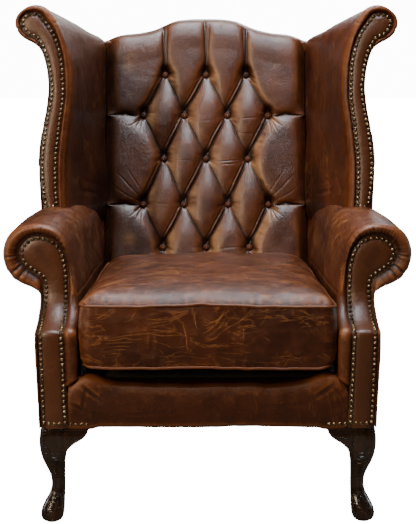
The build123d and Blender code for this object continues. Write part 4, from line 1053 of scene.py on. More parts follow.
def wings():
    u, arc = even_params(WING_EDGE, 3.2)
    E, S, R = (param_curve(p, u) for p in (WING_EDGE, WING_SEAM, WING_REAR))
    n = len(E)
    nails = np.array([(-337.6, 528.0), (-337.6, 600.0)] + WING_NAILS + [(-360.5, 600.0), (-360.0, 528.0)])
    nails = nails[::-1]
    dense = catmull(nails, 900)
    fo = offset(dense, 5.8)
    if np.abs(fo[450] - np.array([-365, 1000])).sum() > 1e9:
        fo = offset(dense, -5.8)
    cen = dense.mean(0)
    if np.linalg.norm(fo - cen, axis=1).mean() < np.linalg.norm(offset(dense, -5.8) - cen, axis=1).mean():
        fo = offset(dense, -5.8)
    F = nearest_on(fo, E)
    nd = np.stack([-np.ones(n), np.zeros(n)], -1)
    nd[:] = (-0.991, 0.134)
    rows = section(F, E, d_wing(F[:, 1]) - 2.6, nd, 6.0, 9.0)
    rows[-1] = np.stack([E[:, 0], d_wing(E[:, 1]) + 10, E[:, 1]], -1)
    # the inner edge is rounded over more softly than the outer
    inn_ = smoothstep(22.5, 25.5, u - 3)
    for k_, in_, back_ in ((3, 0.5, 0.5), (4, 1.5, 0.5), (5, 4.0, -0.5), (6, 7.0, -2.0)):
        rows[k_][:, 0] += inn_ * in_
        rows[k_][:, 1] += inn_ * back_

    def ruled_at(d_abs=None, w=None):
        a = np.stack([E[:, 0], d_wing(E[:, 1]) + 0.8, E[:, 1]], -1)
        b = np.stack([S[:, 0], d_in(S[:, 1]) + 6.0, S[:, 1]], -1)
        if w is None:
            w = (d_abs / (b[:, 1] - a[:, 1]))[:, None]
        return a + (b - a) * w

    idx = u - 3
    inner = smoothstep(22.5, 25.5, idx)          # inner side of the wing
    outer = 1 - smoothstep(10.5, 12.5, idx)
    main = [rows[-1], ruled_at(d_abs=22.0)] + [ruled_at(w=np.full((n, 1), w)) for w in (0.12, 0.25, 0.4, 0.55, 0.7, 0.85, 1.0)]
    ws = [0, 0.05, 0.12, 0.25, 0.4, 0.55, 0.7, 0.85, 1.0]
    for k, w in enumerate(ws):
        bow = 4 * w * (1 - w)
        main[k] = main[k].copy()
        main[k][:, 0] -= inner * 2.5 * bow * smoothstep(600, 680, E[:, 1])
        main[k][:, 0] += inner * (0.0, 7.1, 6.2, 4.8, 3.2, 1.4, 0.4, 0.0, 0.0)[k]
        main[k][:, 0] -= outer * 2.5 * bow
    rear = [np.stack([S[:, 0] + (R[:, 0] - S[:, 0]) * w, d_in(S[:, 1]) + 6.0 + (d_out(R[:, 1]) - 5 - d_in(S[:, 1]) - 6.0) * w,
                      S[:, 1] + (R[:, 1] - S[:, 1]) * w], -1) for w in (0.33, 0.66, 1.0)]
    G1 = through(rows, [2, 3, 4, 4, 4, 4])
    G2 = through(main, [4, 10, 14, 16, 16, 16, 16, 16])
    G3 = through([main[-1]] + rear, [8, 8, 8])
    G = np.concatenate([G1[:-1], G2[:-1], G3])
    m = G.shape[0]
    A = np.broadcast_to(arc, G.shape[:2])
    s = np.concatenate([np.zeros((1, n)), np.cumsum(np.linalg.norm(np.diff(G, axis=0), axis=-1), 0)])
    h = np.zeros(G.shape[:2])
    ref = np.array([-330.0, 520.0, 850.0])
    N = normals(G)
    # the grid runs front to back, then round the outline: one fixed turn gives the outward side
    sgn = -1 if (N[len(G1) + 40, int(n * 0.15)] * np.array([-1.0, 0, 0])).sum() < 0 else 1
    N = N * sgn
    # pleats round the scroll
    f0 = s - s[len(G1) - 1][None]                # distance behind the side's front edge
    for at_i, dep, wide, back, reach in ((19.4, 3.8, 1.5, -24, -3), (14.6, 3.4, 1.5, -20, 4), (17.2, 1.1, 1.5, -20, -4),
                                         (21.8, 1.2, 1.6, -22, 0), (13.0, 1.4, 1.8, -18, 4)):
        a0 = np.interp(at_i + 3, u, arc)
        dd = A - a0 + 1.2 * noise(np.stack([f0, 0 * f0, 0 * f0 + at_i], -1), 14, 3)
        prof = smoothstep(back - 6, back + 6, f0) * (1 - smoothstep(reach - 8, reach + 4, f0))
        h -= dep * np.exp(-(dd / wide) ** 2) * prof
    # fine gathers beside the nails, round the scroll only
    fn = s - s[2][None]
    scroll = (smoothstep(10, 12, idx) * (1 - smoothstep(23, 25, idx)))[None]
    h -= (0.25 + 0.75 * scroll) * 0.9 * np.abs(noise(np.stack([A / 3.6, fn / 40, 0 * A + 9], -1), 1.0, 8)) \
        * np.exp(-fn / 9.0) * smoothstep(0.5, 3, fn)
    # seam at the front of the outside panel
    h -= 1.4 * outer[None] * np.exp(-((f0 - 4) / 1.5) ** 2)
    P3 = G
    soft = smoothstep(-20, 30, f0)
    h += soft * (1.5 * noise(P3, 95, 21) + 0.7 * noise(P3, 38, 22)) + 0.18 * noise(P3, 12, 23) + 0.10 * noise(P3, 6, 27)
    # pull lines from the scroll down the inner side
    inn = inner[None] * soft
    for x0, z0, x1, z1, dep, wide in ((420, 985, 560, 800, 0.9, 5), (380, 960, 500, 720, 0.7, 6), (600, 940, 500, 640, 0.8, 6),
                                      (400, 660, 560, 632, 1.6, 5), (380, 690, 590, 650, 1.0, 6)):
        dd, tt = seg_dist(G[..., 1], G[..., 2], (x0, z0), (x1, z1))
        h -= inn * dep * np.exp(-(dd / wide) ** 2) * np.sin(np.pi * tt) ** 0.8
    G = G + N * h[..., None]
    # rear cap
    ring = G[-1]
    from mathutils.geometry import tessellate_polygon
    tri = np.array(tessellate_polygon([[Vector((p[0], p[2], 0)) for p in ring]]))
    base = (m - 1) * n
    tri = tri + base
    Vm = to_m(G).reshape(-1, 3)
    a, b, c = Vm[tri[:, 0]], Vm[tri[:, 1]], Vm[tri[:, 2]]
    bad = np.cross(b - a, c - a)[:, 1] < 0
    tri[bad] = tri[bad][:, ::-1]
    # faces' own turn, from the same sample as the normals
    Fc = grid_faces(m, n)
    q = Fc[(len(G1) + 40) * (n - 1) + int(n * 0.15)]
    fn = np.cross(Vm[q[1]] - Vm[q[0]], Vm[q[3]] - Vm[q[0]])
    if fn[0] > 0:
        Fc = Fc[:, ::-1]
    # painted shade near the seam with the back, and a painted shadow in the low corner between wing, arm and back
    to_seam = s - s[len(G1) + len(G2) - 3][None]
    near_back = 0.78 * smoothstep(-80, -8, to_seam) * inner[None]
    corner = 0.97 * smoothstep(-190, -70, to_seam + 0.45 * (660 - G[..., 2])) * smoothstep(742, 668, G[..., 2]) * inner[None]
    darkening = np.maximum(near_back, corner)
    # painted shade over the left wing's inside, which stays out of the light
    shade = 0.52 * smoothstep(14, 70, f0) * inner[None] * (1 - 0.5 * smoothstep(940, 1020, G[..., 2]))
    objs = [make("left_wing", Vm, Fc, L_WING, tris=tri, extra={"painted_shade_and_mottle": np.maximum(darkening, shade).ravel()}),
            make("right_wing", Vm, Fc, L_WING, tris=tri, mirror=True, extra={"painted_shade_and_mottle": (0.8 * darkening).ravel()})]
    done(objs, "leather_wings", "inside_wing_cover", "outside_wing_cover", "wing_padding", padded=0.8)
    return dense


WING_PATH = wings()


# ------------------------------------------------------------------ arms
S_LEN = np.r_[0, np.cumsum(np.hypot(*np.diff(S_CURVE, axis=0).T))]


def unroll(z):
    """Length up the arm's front, from the bottom, at a height."""
    return np.interp(z, S_CURVE[:, 1], S_LEN)


def reroll(s):
    """Depth, height and outward direction of the arm's front at a length up it."""
    d = np.interp(s, S_LEN, S_CURVE[:, 0])
    z = np.interp(s, S_LEN, S_CURVE[:, 1])
    e = 3.0
    dd = np.interp(s + e, S_LEN, S_CURVE[:, 0]) - np.interp(s - e, S_LEN, S_CURVE[:, 0])
    dz = np.interp(s + e, S_LEN, S_CURVE[:, 1]) - np.interp(s - e, S_LEN, S_CURVE[:, 1])
    L = np.hypot(dd, dz)
    return d, z, -dz / L, dd / L


ARM_EDGE = ([(-349.0, 206.5), (-350.5, 250.0), (-352.0, 300.0), (-353.5, 350.0), (-354.0, 403.0), (-353.0, 430.0), (-351.5, 450.0)]
            + ARM_ROLL[:17] + [(-288.5, 552.0), (-284.8, 528.0), (-281.0, 505.0), (-277.0, 485.0), (-273.0, 467.0), (-270.4, 449.0),
                               (-268.6, 430.0), (-267.5, 403.0), (-266.5, 370.0), (-266.5, 335.0), (-268.0, 300.0), (-268.0, 285.0)])


def arms():
    # the outline is measured along the curved front, so that every stretch gets its share of points
    flat = np.array([(x, unroll(z)) for x, z in ARM_EDGE])
    u, arc = even_params(flat, 3.0)
    Ef = param_curve(flat, u)
    n = len(Ef)
    d, z, nd, nz = reroll(Ef[:, 1])
    E = np.stack([Ef[:, 0], z], -1)
    nails = np.array([(-338.2, 200.0)] + ARM_NAILS + [(-294.0, 200.0)])
    path = np.stack([nails[:, 0], unroll(nails[:, 1])], -1)
    dense = catmull(path, 1400)
    a, b = offset(dense, 5.8), offset(dense, -5.8)
    cen = dense.mean(0)
    fo = a if np.linalg.norm(a - cen, axis=1).mean() > np.linalg.norm(b - cen, axis=1).mean() else b
    Ff = nearest_on(fo, Ef)
    # unrolled points F and E give the section, then each point is put back on the curved front
    v = Ef - Ff
    L = np.linalg.norm(v, axis=1)
    un = v / np.maximum(L, 1e-6)[:, None]
    g = np.clip(L / 16.0, 0.0, 1.0)
    upper = smoothstep(462, 480, z)
    push = 4.5 + 4.5 * upper
    inner = smoothstep(27.5, 29.5, u)
    rows = []
    spec = ((0.0, -3.0, lambda: -5.0 + 0 * g), (0.0, -0.3, lambda: -1.2 + 0 * g), (0.10, 0.8, lambda: 1.2 - 2.6 * upper + (0.55 - 0.35 * upper) * push * g),
            (0.34, 0.0, lambda: 1.4 - 1.2 * upper + (1.0 - 0.35 * upper) * push * g), (0.66, 0.0, lambda: 0.8 + (0.82 + 0.02 * upper) * push * g),
            (0.90, 0.0, lambda: -0.8 + (0.30 - 0.06 * upper) * push * g), (1.0, 0.0, lambda: -(4.0 + 10.0 * upper)))
    for r, add, hf in spec:
        p = Ff + v * r + un * add
        dd, zz, na, nb = reroll(p[:, 1])
        h = hf()
        rows.append(np.stack([p[:, 0], dd + na * h, zz + nb * h], -1))
    last = rows[-1]
    K = 0.6757
    xr = np.where(last[:, 0] < -283, -250 + K * (last[:, 0] + 283), -250 - 2.0 * (last[:, 0] + 283) / 13.5)
    zr = last[:, 2]
    dr = d_out(zr) - 5
    mid_d = np.maximum(last[:, 1] + 10, 0)
    mains = [last]
    for w in (0.02, 0.06, 0.12, 0.22, 0.34, 0.48, 0.62, 0.76, 0.9, 1.0):
        dd = last[:, 1] + (dr - last[:, 1]) * w
        # x runs on a straight line from 100 mm behind the front plane to the rear
        t = np.clip((dd - 100) / (dr - 100), 0, 1)
        x0 = last[:, 0]
        x = x0 + (xr - x0) * np.where(dd > 100, t, 0)
        lower = (1 - smoothstep(462, 474, zr)) * (1 - smoothstep(26, 28, u))
        xs_ = x_side(dd)
        x = x * (1 - lower) + xs_ * lower
        # the roll climbs a little towards the wing
        rise = 14.0 * smoothstep(60, 300, dd) * smoothstep(500, 600, zr)
        mains.append(np.stack([x, dd, zr + rise], -1))
    G1 = through(rows, [2, 3, 4, 4, 4, 4])
    G2 = through(mains, [4, 6, 8, 12, 14, 16, 16, 16, 16, 12])
    G = np.concatenate([G1[:-1], G2])
    m = G.shape[0]
    # the inside strip ends under the border's raised corner
    under = smoothstep(26, 28, u)[None] * (1 - smoothstep(-4, 7, G[..., 2] - (298.6 + 0.594 * (G[..., 0] + 282.4))))
    G[..., 1] += 12.0 * under * (G[..., 1] < 40)
    N = normals(G)
    k_mid, j_mid = len(G1) + 50, int(n * 0.12)
    sgn = -1 if N[k_mid, j_mid, 0] > 0 else 1
    N = N * sgn
    s = np.concatenate([np.zeros((1, n)), np.cumsum(np.linalg.norm(np.diff(G, axis=0), axis=-1), 0)])
    f0 = s - s[len(G1) - 1][None]
    A = np.broadcast_to(arc, G.shape[:2])
    h = np.zeros(G.shape[:2])
    cx, cz = -345.0, 548.0
    ang = np.degrees(np.arctan2(E[:, 1] - cz, E[:, 0] - cx)) % 360
    roll_pts = (u > 6.5) & (u < 27.5)

    def at_angle(a_):
        i = np.argmin(np.where(roll_pts, np.abs((ang - a_ + 180) % 360 - 180), 999))
        return arc[i]

    fn = s - s[2][None]
    gap = s[len(G1) - 1] - s[2]                  # width of the stuffed front, nails to side
    # a few single pleats: angle round the scroll, depth, width, start and end beyond the nails, lean
    for a_, dep, wide, b0, b1, sl in ((40, 3.4, 1.5, 2, 17, 0.15), (90, 2.2, 1.3, 15, 29, 0.0), (178, 2.2, 1.5, 6, 44, 0.0),
                                      (206, 2.4, 2.8, 5, 60, -0.05), (219, 1.8, 2.8, 4, 50, 0.0), (128, 0.7, 1.4, 12, 30, 0.1),
                                      (22, 1.0, 1.3, 2, 16, 0.2)):
        dd = A - at_angle(a_) - sl * fn + 1.2 * noise(np.stack([fn, 0 * fn, 0 * fn + a_], -1), 18, 3)
        prof = smoothstep(b0 - 2, b0 + 3, fn) * (1 - smoothstep(b0 + 0.55 * (b1 - b0), b1, fn))
        w = wide * (1 + np.clip(fn, 0, 60) / 50)
        h -= dep * np.exp(-(dd / w) ** 2) * prof
        h += 0.3 * dep * np.exp(-((np.abs(dd) - w * 2.2) / (w * 1.3)) ** 2) * prof
    # fine gathers where the leather is drawn in under the nails
    scroll = (smoothstep(8, 10, u) * (1 - smoothstep(24.5, 27, u)))[None]
    gather = np.abs(noise(np.stack([A / 4.2, fn / 60, 0 * A], -1), 1.0, 7))
    h -= (0.20 + 0.80 * scroll) * 1.6 * gather * np.exp(-fn / 15.0) * smoothstep(0.5, 3, fn)
    # wrinkles of the inside strip in the hollow below the scroll
    low_in = (smoothstep(22.5, 24, u) * (1 - smoothstep(28, 30, u)))[None]
    marks = np.zeros(G.shape[:2])
    for q_, (zc, dep) in enumerate(((478, 0.9), (486, 1.2), (494, 1.5), (501, 1.2), (509, 1.5), (517, 1.3), (525, 1.1), (534, 0.8))):
        ln_ = G[..., 2] - zc - 1.25 * (G[..., 0] + 283) - 2.0 * noise(G, 22, 9 + q_)
        span = smoothstep(6, 14, fn) * (1 - smoothstep(26 + 5 * (q_ % 3), 44 + 5 * (q_ % 3), fn))
        h -= low_in * dep * np.exp(-(ln_ / 2.0) ** 2) * span
        marks = np.maximum(marks, low_in * 0.5 * dep * np.exp(-((ln_ - 2.4) / 1.3) ** 2) * span)
    # fine rubbed streaks, slanting over the roll's top and down its inner side
    over = (smoothstep(12, 15, u) * (1 - smoothstep(25, 28, u)))[None] * smoothstep(12, 40, f0)
    for q_, (cell, long_, slant) in enumerate(((2.6, 55, 0.75), (3.4, 80, 0.55))):
        v_ = noise(np.stack([(A - slant * f0) / cell, (A + slant * f0) / long_, 0 * A + 13 * q_], -1), 1.0, 61 + q_)
        patch = smoothstep(-0.1, 0.5, noise(G, 46, 71 + q_))
        marks = np.maximum(marks, 0.34 * over * patch * smoothstep(0.25, 0.85, v_))
        h -= 0.18 * over * patch * smoothstep(0.1, 0.8, v_)
    # the seam under the roll
    i_seam = np.interp(7.0, u, arc)
    h -= 3.0 * np.exp(-((A - i_seam) / 3.0) ** 2) * smoothstep(0, 30, f0)
    outer_low = 1 - smoothstep(6.0, 6.8, u)
    h += outer_low[None] * 2.0 * smoothstep(10, 120, f0) * np.sin(np.clip((A - 5) / (i_seam - 10), 0, 1) * np.pi)
    P3 = G
    soft = smoothstep(-26, 30, f0)
    h += soft * (1.7 * noise(P3, 90, 41) + 0.8 * noise(P3, 36, 42)) + 0.20 * noise(P3, 12, 43) + 0.10 * noise(P3, 6, 47)
    # soft pull lines on the inside arm above the cushion
    inn = smoothstep(22, 25, u)[None] * soft
    for p0, p1, dep, wide in (((112, 470), (170, 560), 0.8, 6), ((150, 455), (260, 560), 0.7, 8), ((300, 480), (420, 600), 0.7, 9),
                              ((420, 490), (520, 590), 0.8, 9)):
        dd, tt = seg_dist(G[..., 1], G[..., 2], p0, p1)
        h -= inn * dep * np.exp(-(dd / wide) ** 2) * np.sin(np.pi * tt) ** 0.8
    # long wrinkles over the roll's top
    top = (smoothstep(14, 16, u) * (1 - smoothstep(21, 23, u)))[None] * soft
    h -= top * 0.5 * np.maximum(0, noise(G * [1, 0.35, 1], 16, 51)) * smoothstep(20, 60, f0)
    G = G + N * h[..., None]
    from mathutils.geometry import tessellate_polygon
    ring = G[-1]
    tri = np.array(tessellate_polygon([[Vector((p[0], p[2], 0)) for p in ring]])) + (m - 1) * n
    Vm = to_m(G).reshape(-1, 3)
    a, b, c = Vm[tri[:, 0]], Vm[tri[:, 1]], Vm[tri[:, 2]]
    bad = np.cross(b - a, c - a)[:, 1] < 0
    tri[bad] = tri[bad][:, ::-1]
    Fc = grid_faces(m, n)
    q = Fc[k_mid * (n - 1) + j_mid]
    if np.cross(Vm[q[1]] - Vm[q[0]], Vm[q[3]] - Vm[q[0]])[0] > 0:
        Fc = Fc[:, ::-1]
    # painted shade in the valley beside the nails, in the gathers round the scroll, and at the rear of the inside arm
    hollow = 0.88 * np.exp(-(fn / 11.5) ** 2) * (0.35 + 0.65 * scroll)
    hollow = np.maximum(hollow, 0.75 * scroll * np.exp(-(fn / 24.0) ** 2) * smoothstep(0.22, 0.65, gather))
    rear_in = smoothstep(-80, -5, s - s[-1][None]) * (smoothstep(20, 23, u))[None]
    hollow = np.maximum(hollow, 0.80 * rear_in)
    objs = both("arm", Vm, Fc, L_ARM, tris=tri, extra={"painted_shade_and_mottle": hollow.ravel(), "marks": marks.ravel()})
    done(objs, "leather_arms", "inside_arm_cover", "outside_arm_cover", "arm_padding", padded=0.8)
    return dense


ARM_PATH = arms()


# ------------------------------------------------------------------ nailed facings and nails
def strip(path, width, across, pitch=2.2):
    """Ladder of rungs between the two sides of a loop path, widened by width. Returns (rungs, across, 2)."""
    a, b = offset(path, width), offset(path, -width)
    cen = path.mean(0)
    out = a if np.linalg.norm(a - cen, axis=1).mean() > np.linalg.norm(b - cen, axis=1).mean() else b
    s = np.r_[0, np.cumsum(np.linalg.norm(np.diff(out, axis=0), axis=1))]
    n = int(s[-1] / 2 / pitch)
    t = np.linspace(0, s[-1] / 2, n)
    t[-1] -= 0.6
    L = np.stack([np.interp(t, s, out[:, k]) for k in (0, 1)], -1)
    R = np.stack([np.interp(s[-1] - t, s, out[:, k]) for k in (0, 1)], -1)
    w = np.linspace(0, 1, across)
    w = 0.5 - 0.5 * np.cos(np.pi * w) * (0.35 + 0.65 * np.abs(np.cos(np.pi * w)) ** 0.0)
    return L[:, None] * (1 - w[None, :, None]) + R[:, None] * w[None, :, None], out


def facing_height(G2, outline, path):
    de, _ = poly_dist(G2[..., 0], G2[..., 1], outline[::6])
    dn, _ = poly_dist(G2[..., 0], G2[..., 1], path[::6])
    P3 = np.stack([G2[..., 0], G2[..., 1], 0 * de], -1)
    dome = 3.4 * (1 - np.exp(-np.maximum(dn * 0 + de - 8, 0) / 6.0))
    edge = -2.6 * np.exp(-(de / 2.2) ** 1.5)
    nail = -1.0 * np.exp(-(dn / 4.0) ** 2)
    return dome + edge + nail + 0.5 + 0.35 * noise(P3, 26, 61) + 0.14 * noise(P3, 9, 62)


def nail_mesh(centres, dirs, name, seed):
    r = np.random.default_rng(seed)
    rr = np.array([4.05, 4.25, 4.1, 3.5, 2.6, 1.4])
    hh = np.array([-1.2, 0.1, 0.95, 1.95, 2.70, 3.10])
    th = np.linspace(0, 2 * np.pi, 16, endpoint=False)
    VV, FF, TT = [], [], []
    off = 0
    for c, nrm in zip(centres, dirs):
        nrm = nrm + r.normal(0, 0.07, 3)
        nrm /= np.linalg.norm(nrm)
        a = np.cross(nrm, [1.0, 0.02, 0.0])
        a /= np.linalg.norm(a)
        b = np.cross(nrm, a)
        k = r.uniform(0.96, 1.04)
        c = c + r.normal(0, 0.25, 3) * (1, 0.2, 1)
        P_ = c + k * (rr[:, None, None] * (np.cos(th)[None, :, None] * a + np.sin(th)[None, :, None] * b)) + (hh * k)[:, None, None] * nrm
        V = np.vstack([P_.reshape(-1, 3), (c + nrm * 3.25 * k)[None]])
        F = grid_faces(6, 16, close_m=True)
        T = np.array([(96, 80 + i, 80 + (i + 1) % 16) for i in range(16)])
        VV.append(V)
        FF.append(F + off)
        TT.append(T + off)
        off += len(V)
    V = to_m(np.vstack(VV))
    F, T = np.vstack(FF), np.vstack(TT)
    a0 = V[T[0, 0]] - V[T[0, 1]]
    fn = np.cross(V[T[0, 1]] - V[T[0, 0]], V[T[0, 2]] - V[T[0, 0]])
    if fn[1] > 0:
        F, T = F[:, ::-1], T[:, ::-1]
    return V, F, T


def facings():
    # arm: laid out flat, then wrapped on the curved front
    path = ARM_PATH
    lo = float(unroll(206.8))
    G2, outline = strip(path, 5.6, 17)
    keep = G2[:, :, 1].min(1) > lo - 1.0
    G2 = G2[keep]
    G2[0, :, 1] = lo
    h = facing_height(G2, outline, path)
    s = G2[..., 1]
    crease = -1.6 * np.exp(-((s - unroll(405.5)) / 2.6) ** 2) * 0
    fold = -0.5 * np.exp(-((s - unroll(474) + 0.25 * np.abs(G2[..., 0] + 320)) / 5.0) ** 2) - 0.35 * np.exp(-((s - unroll(466) + 0.35 * np.abs(G2[..., 0] + 318)) / 2.2) ** 2)
    h = h + crease + fold
    d, z, nd, nz = reroll(s)
    G = np.stack([G2[..., 0], d + nd * h, z + nz * h], -1)
    V = to_m(G).reshape(-1, 3)
    F = grid_faces(*G.shape[:2])
    q = F[200]
    if np.cross(V[q[1]] - V[q[0]], V[q[3]] - V[q[0]])[1] > 0:
        F = F[:, ::-1]
    done(both("arm_front_strip", V, F, L_FACE), "leather_arms", "arm_facing")
    # nails: evenly spaced by true length along the path, and short rows across the foot
    keep = path[:, 1] > unroll(219.6) - 0.01
    p = path[keep]
    ln = np.r_[0, np.cumsum(np.hypot(*np.diff(p, axis=0).T))]
    cnt = int(round(ln[-1] / 11.0))
    t = np.linspace(0, ln[-1], cnt + 1)
    x, s = np.interp(t, ln, p[:, 0]), np.interp(t, ln, p[:, 1])
    d, z, nd, nz = reroll(s)
    C = [np.stack([x, d - 0.2 * nd * 0, z], -1)]
    D = [np.stack([0 * x, nd, nz], -1)]
    fx = np.array([-327.5, -316.5, -305.5])
    C.append(np.stack([fx, 0 * fx - 1.6, 0 * fx + 217.5], -1))
    D.append(np.tile([0, -1.0, 0], (3, 1)))
    fx = np.array([-283.0, -272.0, -261.0, -250.6])
    C.append(np.stack([fx, 0 * fx + 1.4, 0 * fx + 215.0], -1))
    D.append(np.tile([0, -1.0, 0], (4, 1)))
    V, F, T = nail_mesh(np.vstack(C), np.vstack(D), "arm", 5)
    done(both("arm_nail_heads", V, F, BRASS, tris=T, wear=False), "antique_brass", "arm_nails")
    # wing
    path = WING_PATH
    G2, outline = strip(path, 5.6, 17)
    keep = G2[:, :, 1].min(1) > 604
    G2 = G2[keep]
    h = facing_height(G2, outline, path)
    ln_ = math.hypot(1, 60 / 445)
    nd, nz = -1 / ln_, (60 / 445) / ln_
    G = np.stack([G2[..., 0], d_wing(G2[..., 1]) - 4.0 + nd * h, G2[..., 1] + nz * h], -1)
    V = to_m(G).reshape(-1, 3)
    F = grid_faces(*G.shape[:2])
    q = F[200]
    if np.cross(V[q[1]] - V[q[0]], V[q[3]] - V[q[0]])[1] > 0:
        F = F[:, ::-1]
    done(both("wing_front_strip", V, F, L_FACE), "leather_wings", "wing_facing")
    inn = path[:, 1] > 640 - 0.01
    p = path[inn]
    ln = np.r_[0, np.cumsum(np.hypot(*np.diff(p, axis=0).T))]
    cnt = int(round(ln[-1] / 11.0))
    t = np.linspace(0, ln[-1], cnt + 1)
    x, z = np.interp(t, ln, p[:, 0]), np.interp(t, ln, p[:, 1])
    x, z = np.r_[x, -353.8, -344.6], np.r_[z, 632.5, 633.5]
    C = np.stack([x, d_wing(z) - 4.0, z], -1)
    D = np.tile([0, nd, nz], (len(x), 1))
    V, F, T = nail_mesh(C, D, "wing", 6)
    done(both("wing_nail_heads", V, F, BRASS, tris=T, wear=False), "antique_brass", "wing_nails")


facings()


# ------------------------------------------------------------------ front border
def border():
    xs = np.linspace(-287.6, 287.6, 231)
    ax = np.abs(xs)
    crest = catmull(np.array([(-20, 297.0), (60, 297.0), (130, 297.5), (160, 298.6), (181.6, 301.0), (208, 307.4), (228, 313.6), (242, 315.8),
                              (254.6, 315.6), (268, 310.4), (282.8, 300.0), (292, 293.5)]), 300)
    top = np.interp(ax, crest[:, 0], crest[:, 1]) + 1.0 * np.sin(xs / 31) + 0.7 * np.sin(xs / 13 + 1)
    low = 208.5 + 1.0 * np.sin(xs / 47) - 4.8 * smoothstep(222, 246, ax)
    rows = []
    for d, fz in ((16, lambda: low - 1.0), (6, lambda: low - 1.5), (1.5, lambda: low + 3), (0.0, lambda: low + 14), (-2.5, lambda: low * 0.6 + 0.4 * top),
                  (-3.0, lambda: low * 0.35 + 0.65 * top), (-0.5, lambda: top - 13), (4, lambda: top - 4.5), (14, lambda: top),
                  (30, lambda: top - 0.5), (48, lambda: 0.5 * top + 148.5), (66, lambda: 0 * top + 297)):
        rows.append(np.stack([xs, np.full(len(xs), float(d)), fz()], -1))
    G = through(rows, [3, 3, 4, 10, 9, 7, 4, 4, 5, 5, 5])
    N = facing_out(normals(G), G, np.array([0, 40.0, 250.0]))
    A = G[..., 0]
    P3 = G
    h = 0.9 * noise(P3, 70, 71) + 0.55 * noise(P3, 24, 72) + 0.15 * noise(P3, 9, 73) + 0.08 * noise(P3, 5, 74)
    end = np.exp(-(287.6 - np.abs(A)) / 5.0)
    h -= 2.2 * end
    for x0, z0, x1, z1, dep, wide in ((-262, 300, -215, 262, 1.6, 4), (-285, 262, -240, 240, 0.9, 4), (262, 302, 214, 268, 1.6, 4),
                                      (250, 290, 262, 235, 1.0, 4), (-250, 296, -262, 240, 1.0, 4), (100, 250, 230, 262, 0.7, 4),
                                      (-180, 235, -60, 243, 0.6, 4)):
        dd, tt = seg_dist(G[..., 0], G[..., 2], (x0, z0), (x1, z1))
        h -= dep * np.exp(-(dd / wide) ** 2) * np.sin(np.pi * tt) ** 0.8 * (G[..., 1] < 20)
    G = G + N * h[..., None]
    V = to_m(G).reshape(-1, 3)
    F = grid_faces(*G.shape[:2])
    q = F[(G.shape[0] // 2) * (G.shape[1] - 1) + 100]
    if np.cross(V[q[1]] - V[q[0]], V[q[3]] - V[q[0]])[1] > 0 and G[G.shape[0] // 2, 0, 1] < 10:
        F = F[:, ::-1]
    # painted shadow along the top edge under the cushion, and painted shade along the bottom edge
    under = 0.80 * np.exp(-((top[None] - G[..., 2]) / 13.0) ** 2) * (1 - smoothstep(185, 232, np.abs(A)))
    under = np.maximum(under, 0.45 * smoothstep(9, 1, G[..., 2] - low[None]))
    o = make("front_border_leather", V, F, L_BORDER, extra={"painted_shade_and_mottle": under.ravel()})
    done(o, "leather_front", "front_border", padded=0.8)


border()


# ------------------------------------------------------------------ seat cushion
# cracked wax, drawn one by one: ends of each line, its bow and its strength
FRONT_CRACKS = [(-186, 457, -222, 436, 2, 0.5), (-198, 458, -234, 434, 3, 0.6), (-144, 458, -156, 441, 1, 0.5), (-206, 450, -236, 438, 1, 0.4),
                (-36, 458, -84, 452, 3, 0.6), (-38, 455, -112, 436, 6, 0.8), (-40, 452, -124, 428, 7, 0.7), (-52, 447, -118, 422, 5, 0.5),
                (-70, 444, -128, 440, 3, 0.5), (-60, 456, -104, 455, 2, 0.4), (-52, 434, -42, 370, 2, 0.9), (-26, 456, -22, 418, -2, 0.8),
                (-34, 458, -28, 430, 1, 0.4), (44, 458, -10, 431, 6, 1.0), (34, 457, -8, 425, 7, 0.9), (30, 452, -4, 419, 6, 0.8),
                (26, 446, -2, 414, 5, 0.8), (38, 446, 2, 404, 6, 0.8), (22, 440, -12, 408, 5, 0.6), (44, 438, 8, 414, 4, 0.6),
                (90, 459, 26, 412, 5, 1.0), (26, 412, -2, 394, 4, 0.9), (96, 458, 60, 432, 4, 0.5), (100, 457, 130, 452, -1, 0.4),
                (72, 424, 98, 424, 1, 0.8), (70, 424, 72, 396, 1, 0.5), (146, 434, 176, 435, 1, 0.8), (112, 402, 126, 392, 1, 0.5),
                (46, 388, 74, 387, 1, 0.7), (-198, 400, -52, 404, 3, 0.8), (-206, 395, -132, 398, 1, 0.7), (-214, 388, -146, 390, 1, 0.6),
                (-208, 380, -158, 381, 1, 0.6), (-204, 374, -164, 374, 1, 0.6), (-206, 366, -176, 366, 1, 0.5), (-218, 371, -190, 370, 1, 0.4),
                (-252, 412, -236, 396, 1, 0.5), (-254, 398, -238, 384, 1, 0.5), (-256, 384, -240, 372, 1, 0.5), (-250, 366, -214, 350, -2, 0.7),
                (-252, 358, -210, 346, -2, 0.6), (178, 458, 210, 442, 3, 0.5), (186, 455, 226, 430, 4, 0.5), (168, 448, 232, 426, 4, 0.4),
                (232, 368, 250, 352, 1, 0.5), (222, 362, 252, 346, 2, 0.4), (-100, 376, -80, 352, 1, 0.3), (4, 366, 14, 350, 1, 0.3),
                (-150, 440, -172, 432, 1, 0.4), (-124, 446, -100, 449, 1, 0.4), (56, 444, 66, 420, 1, 0.4), (118, 444, 104, 424, 1, 0.3)]
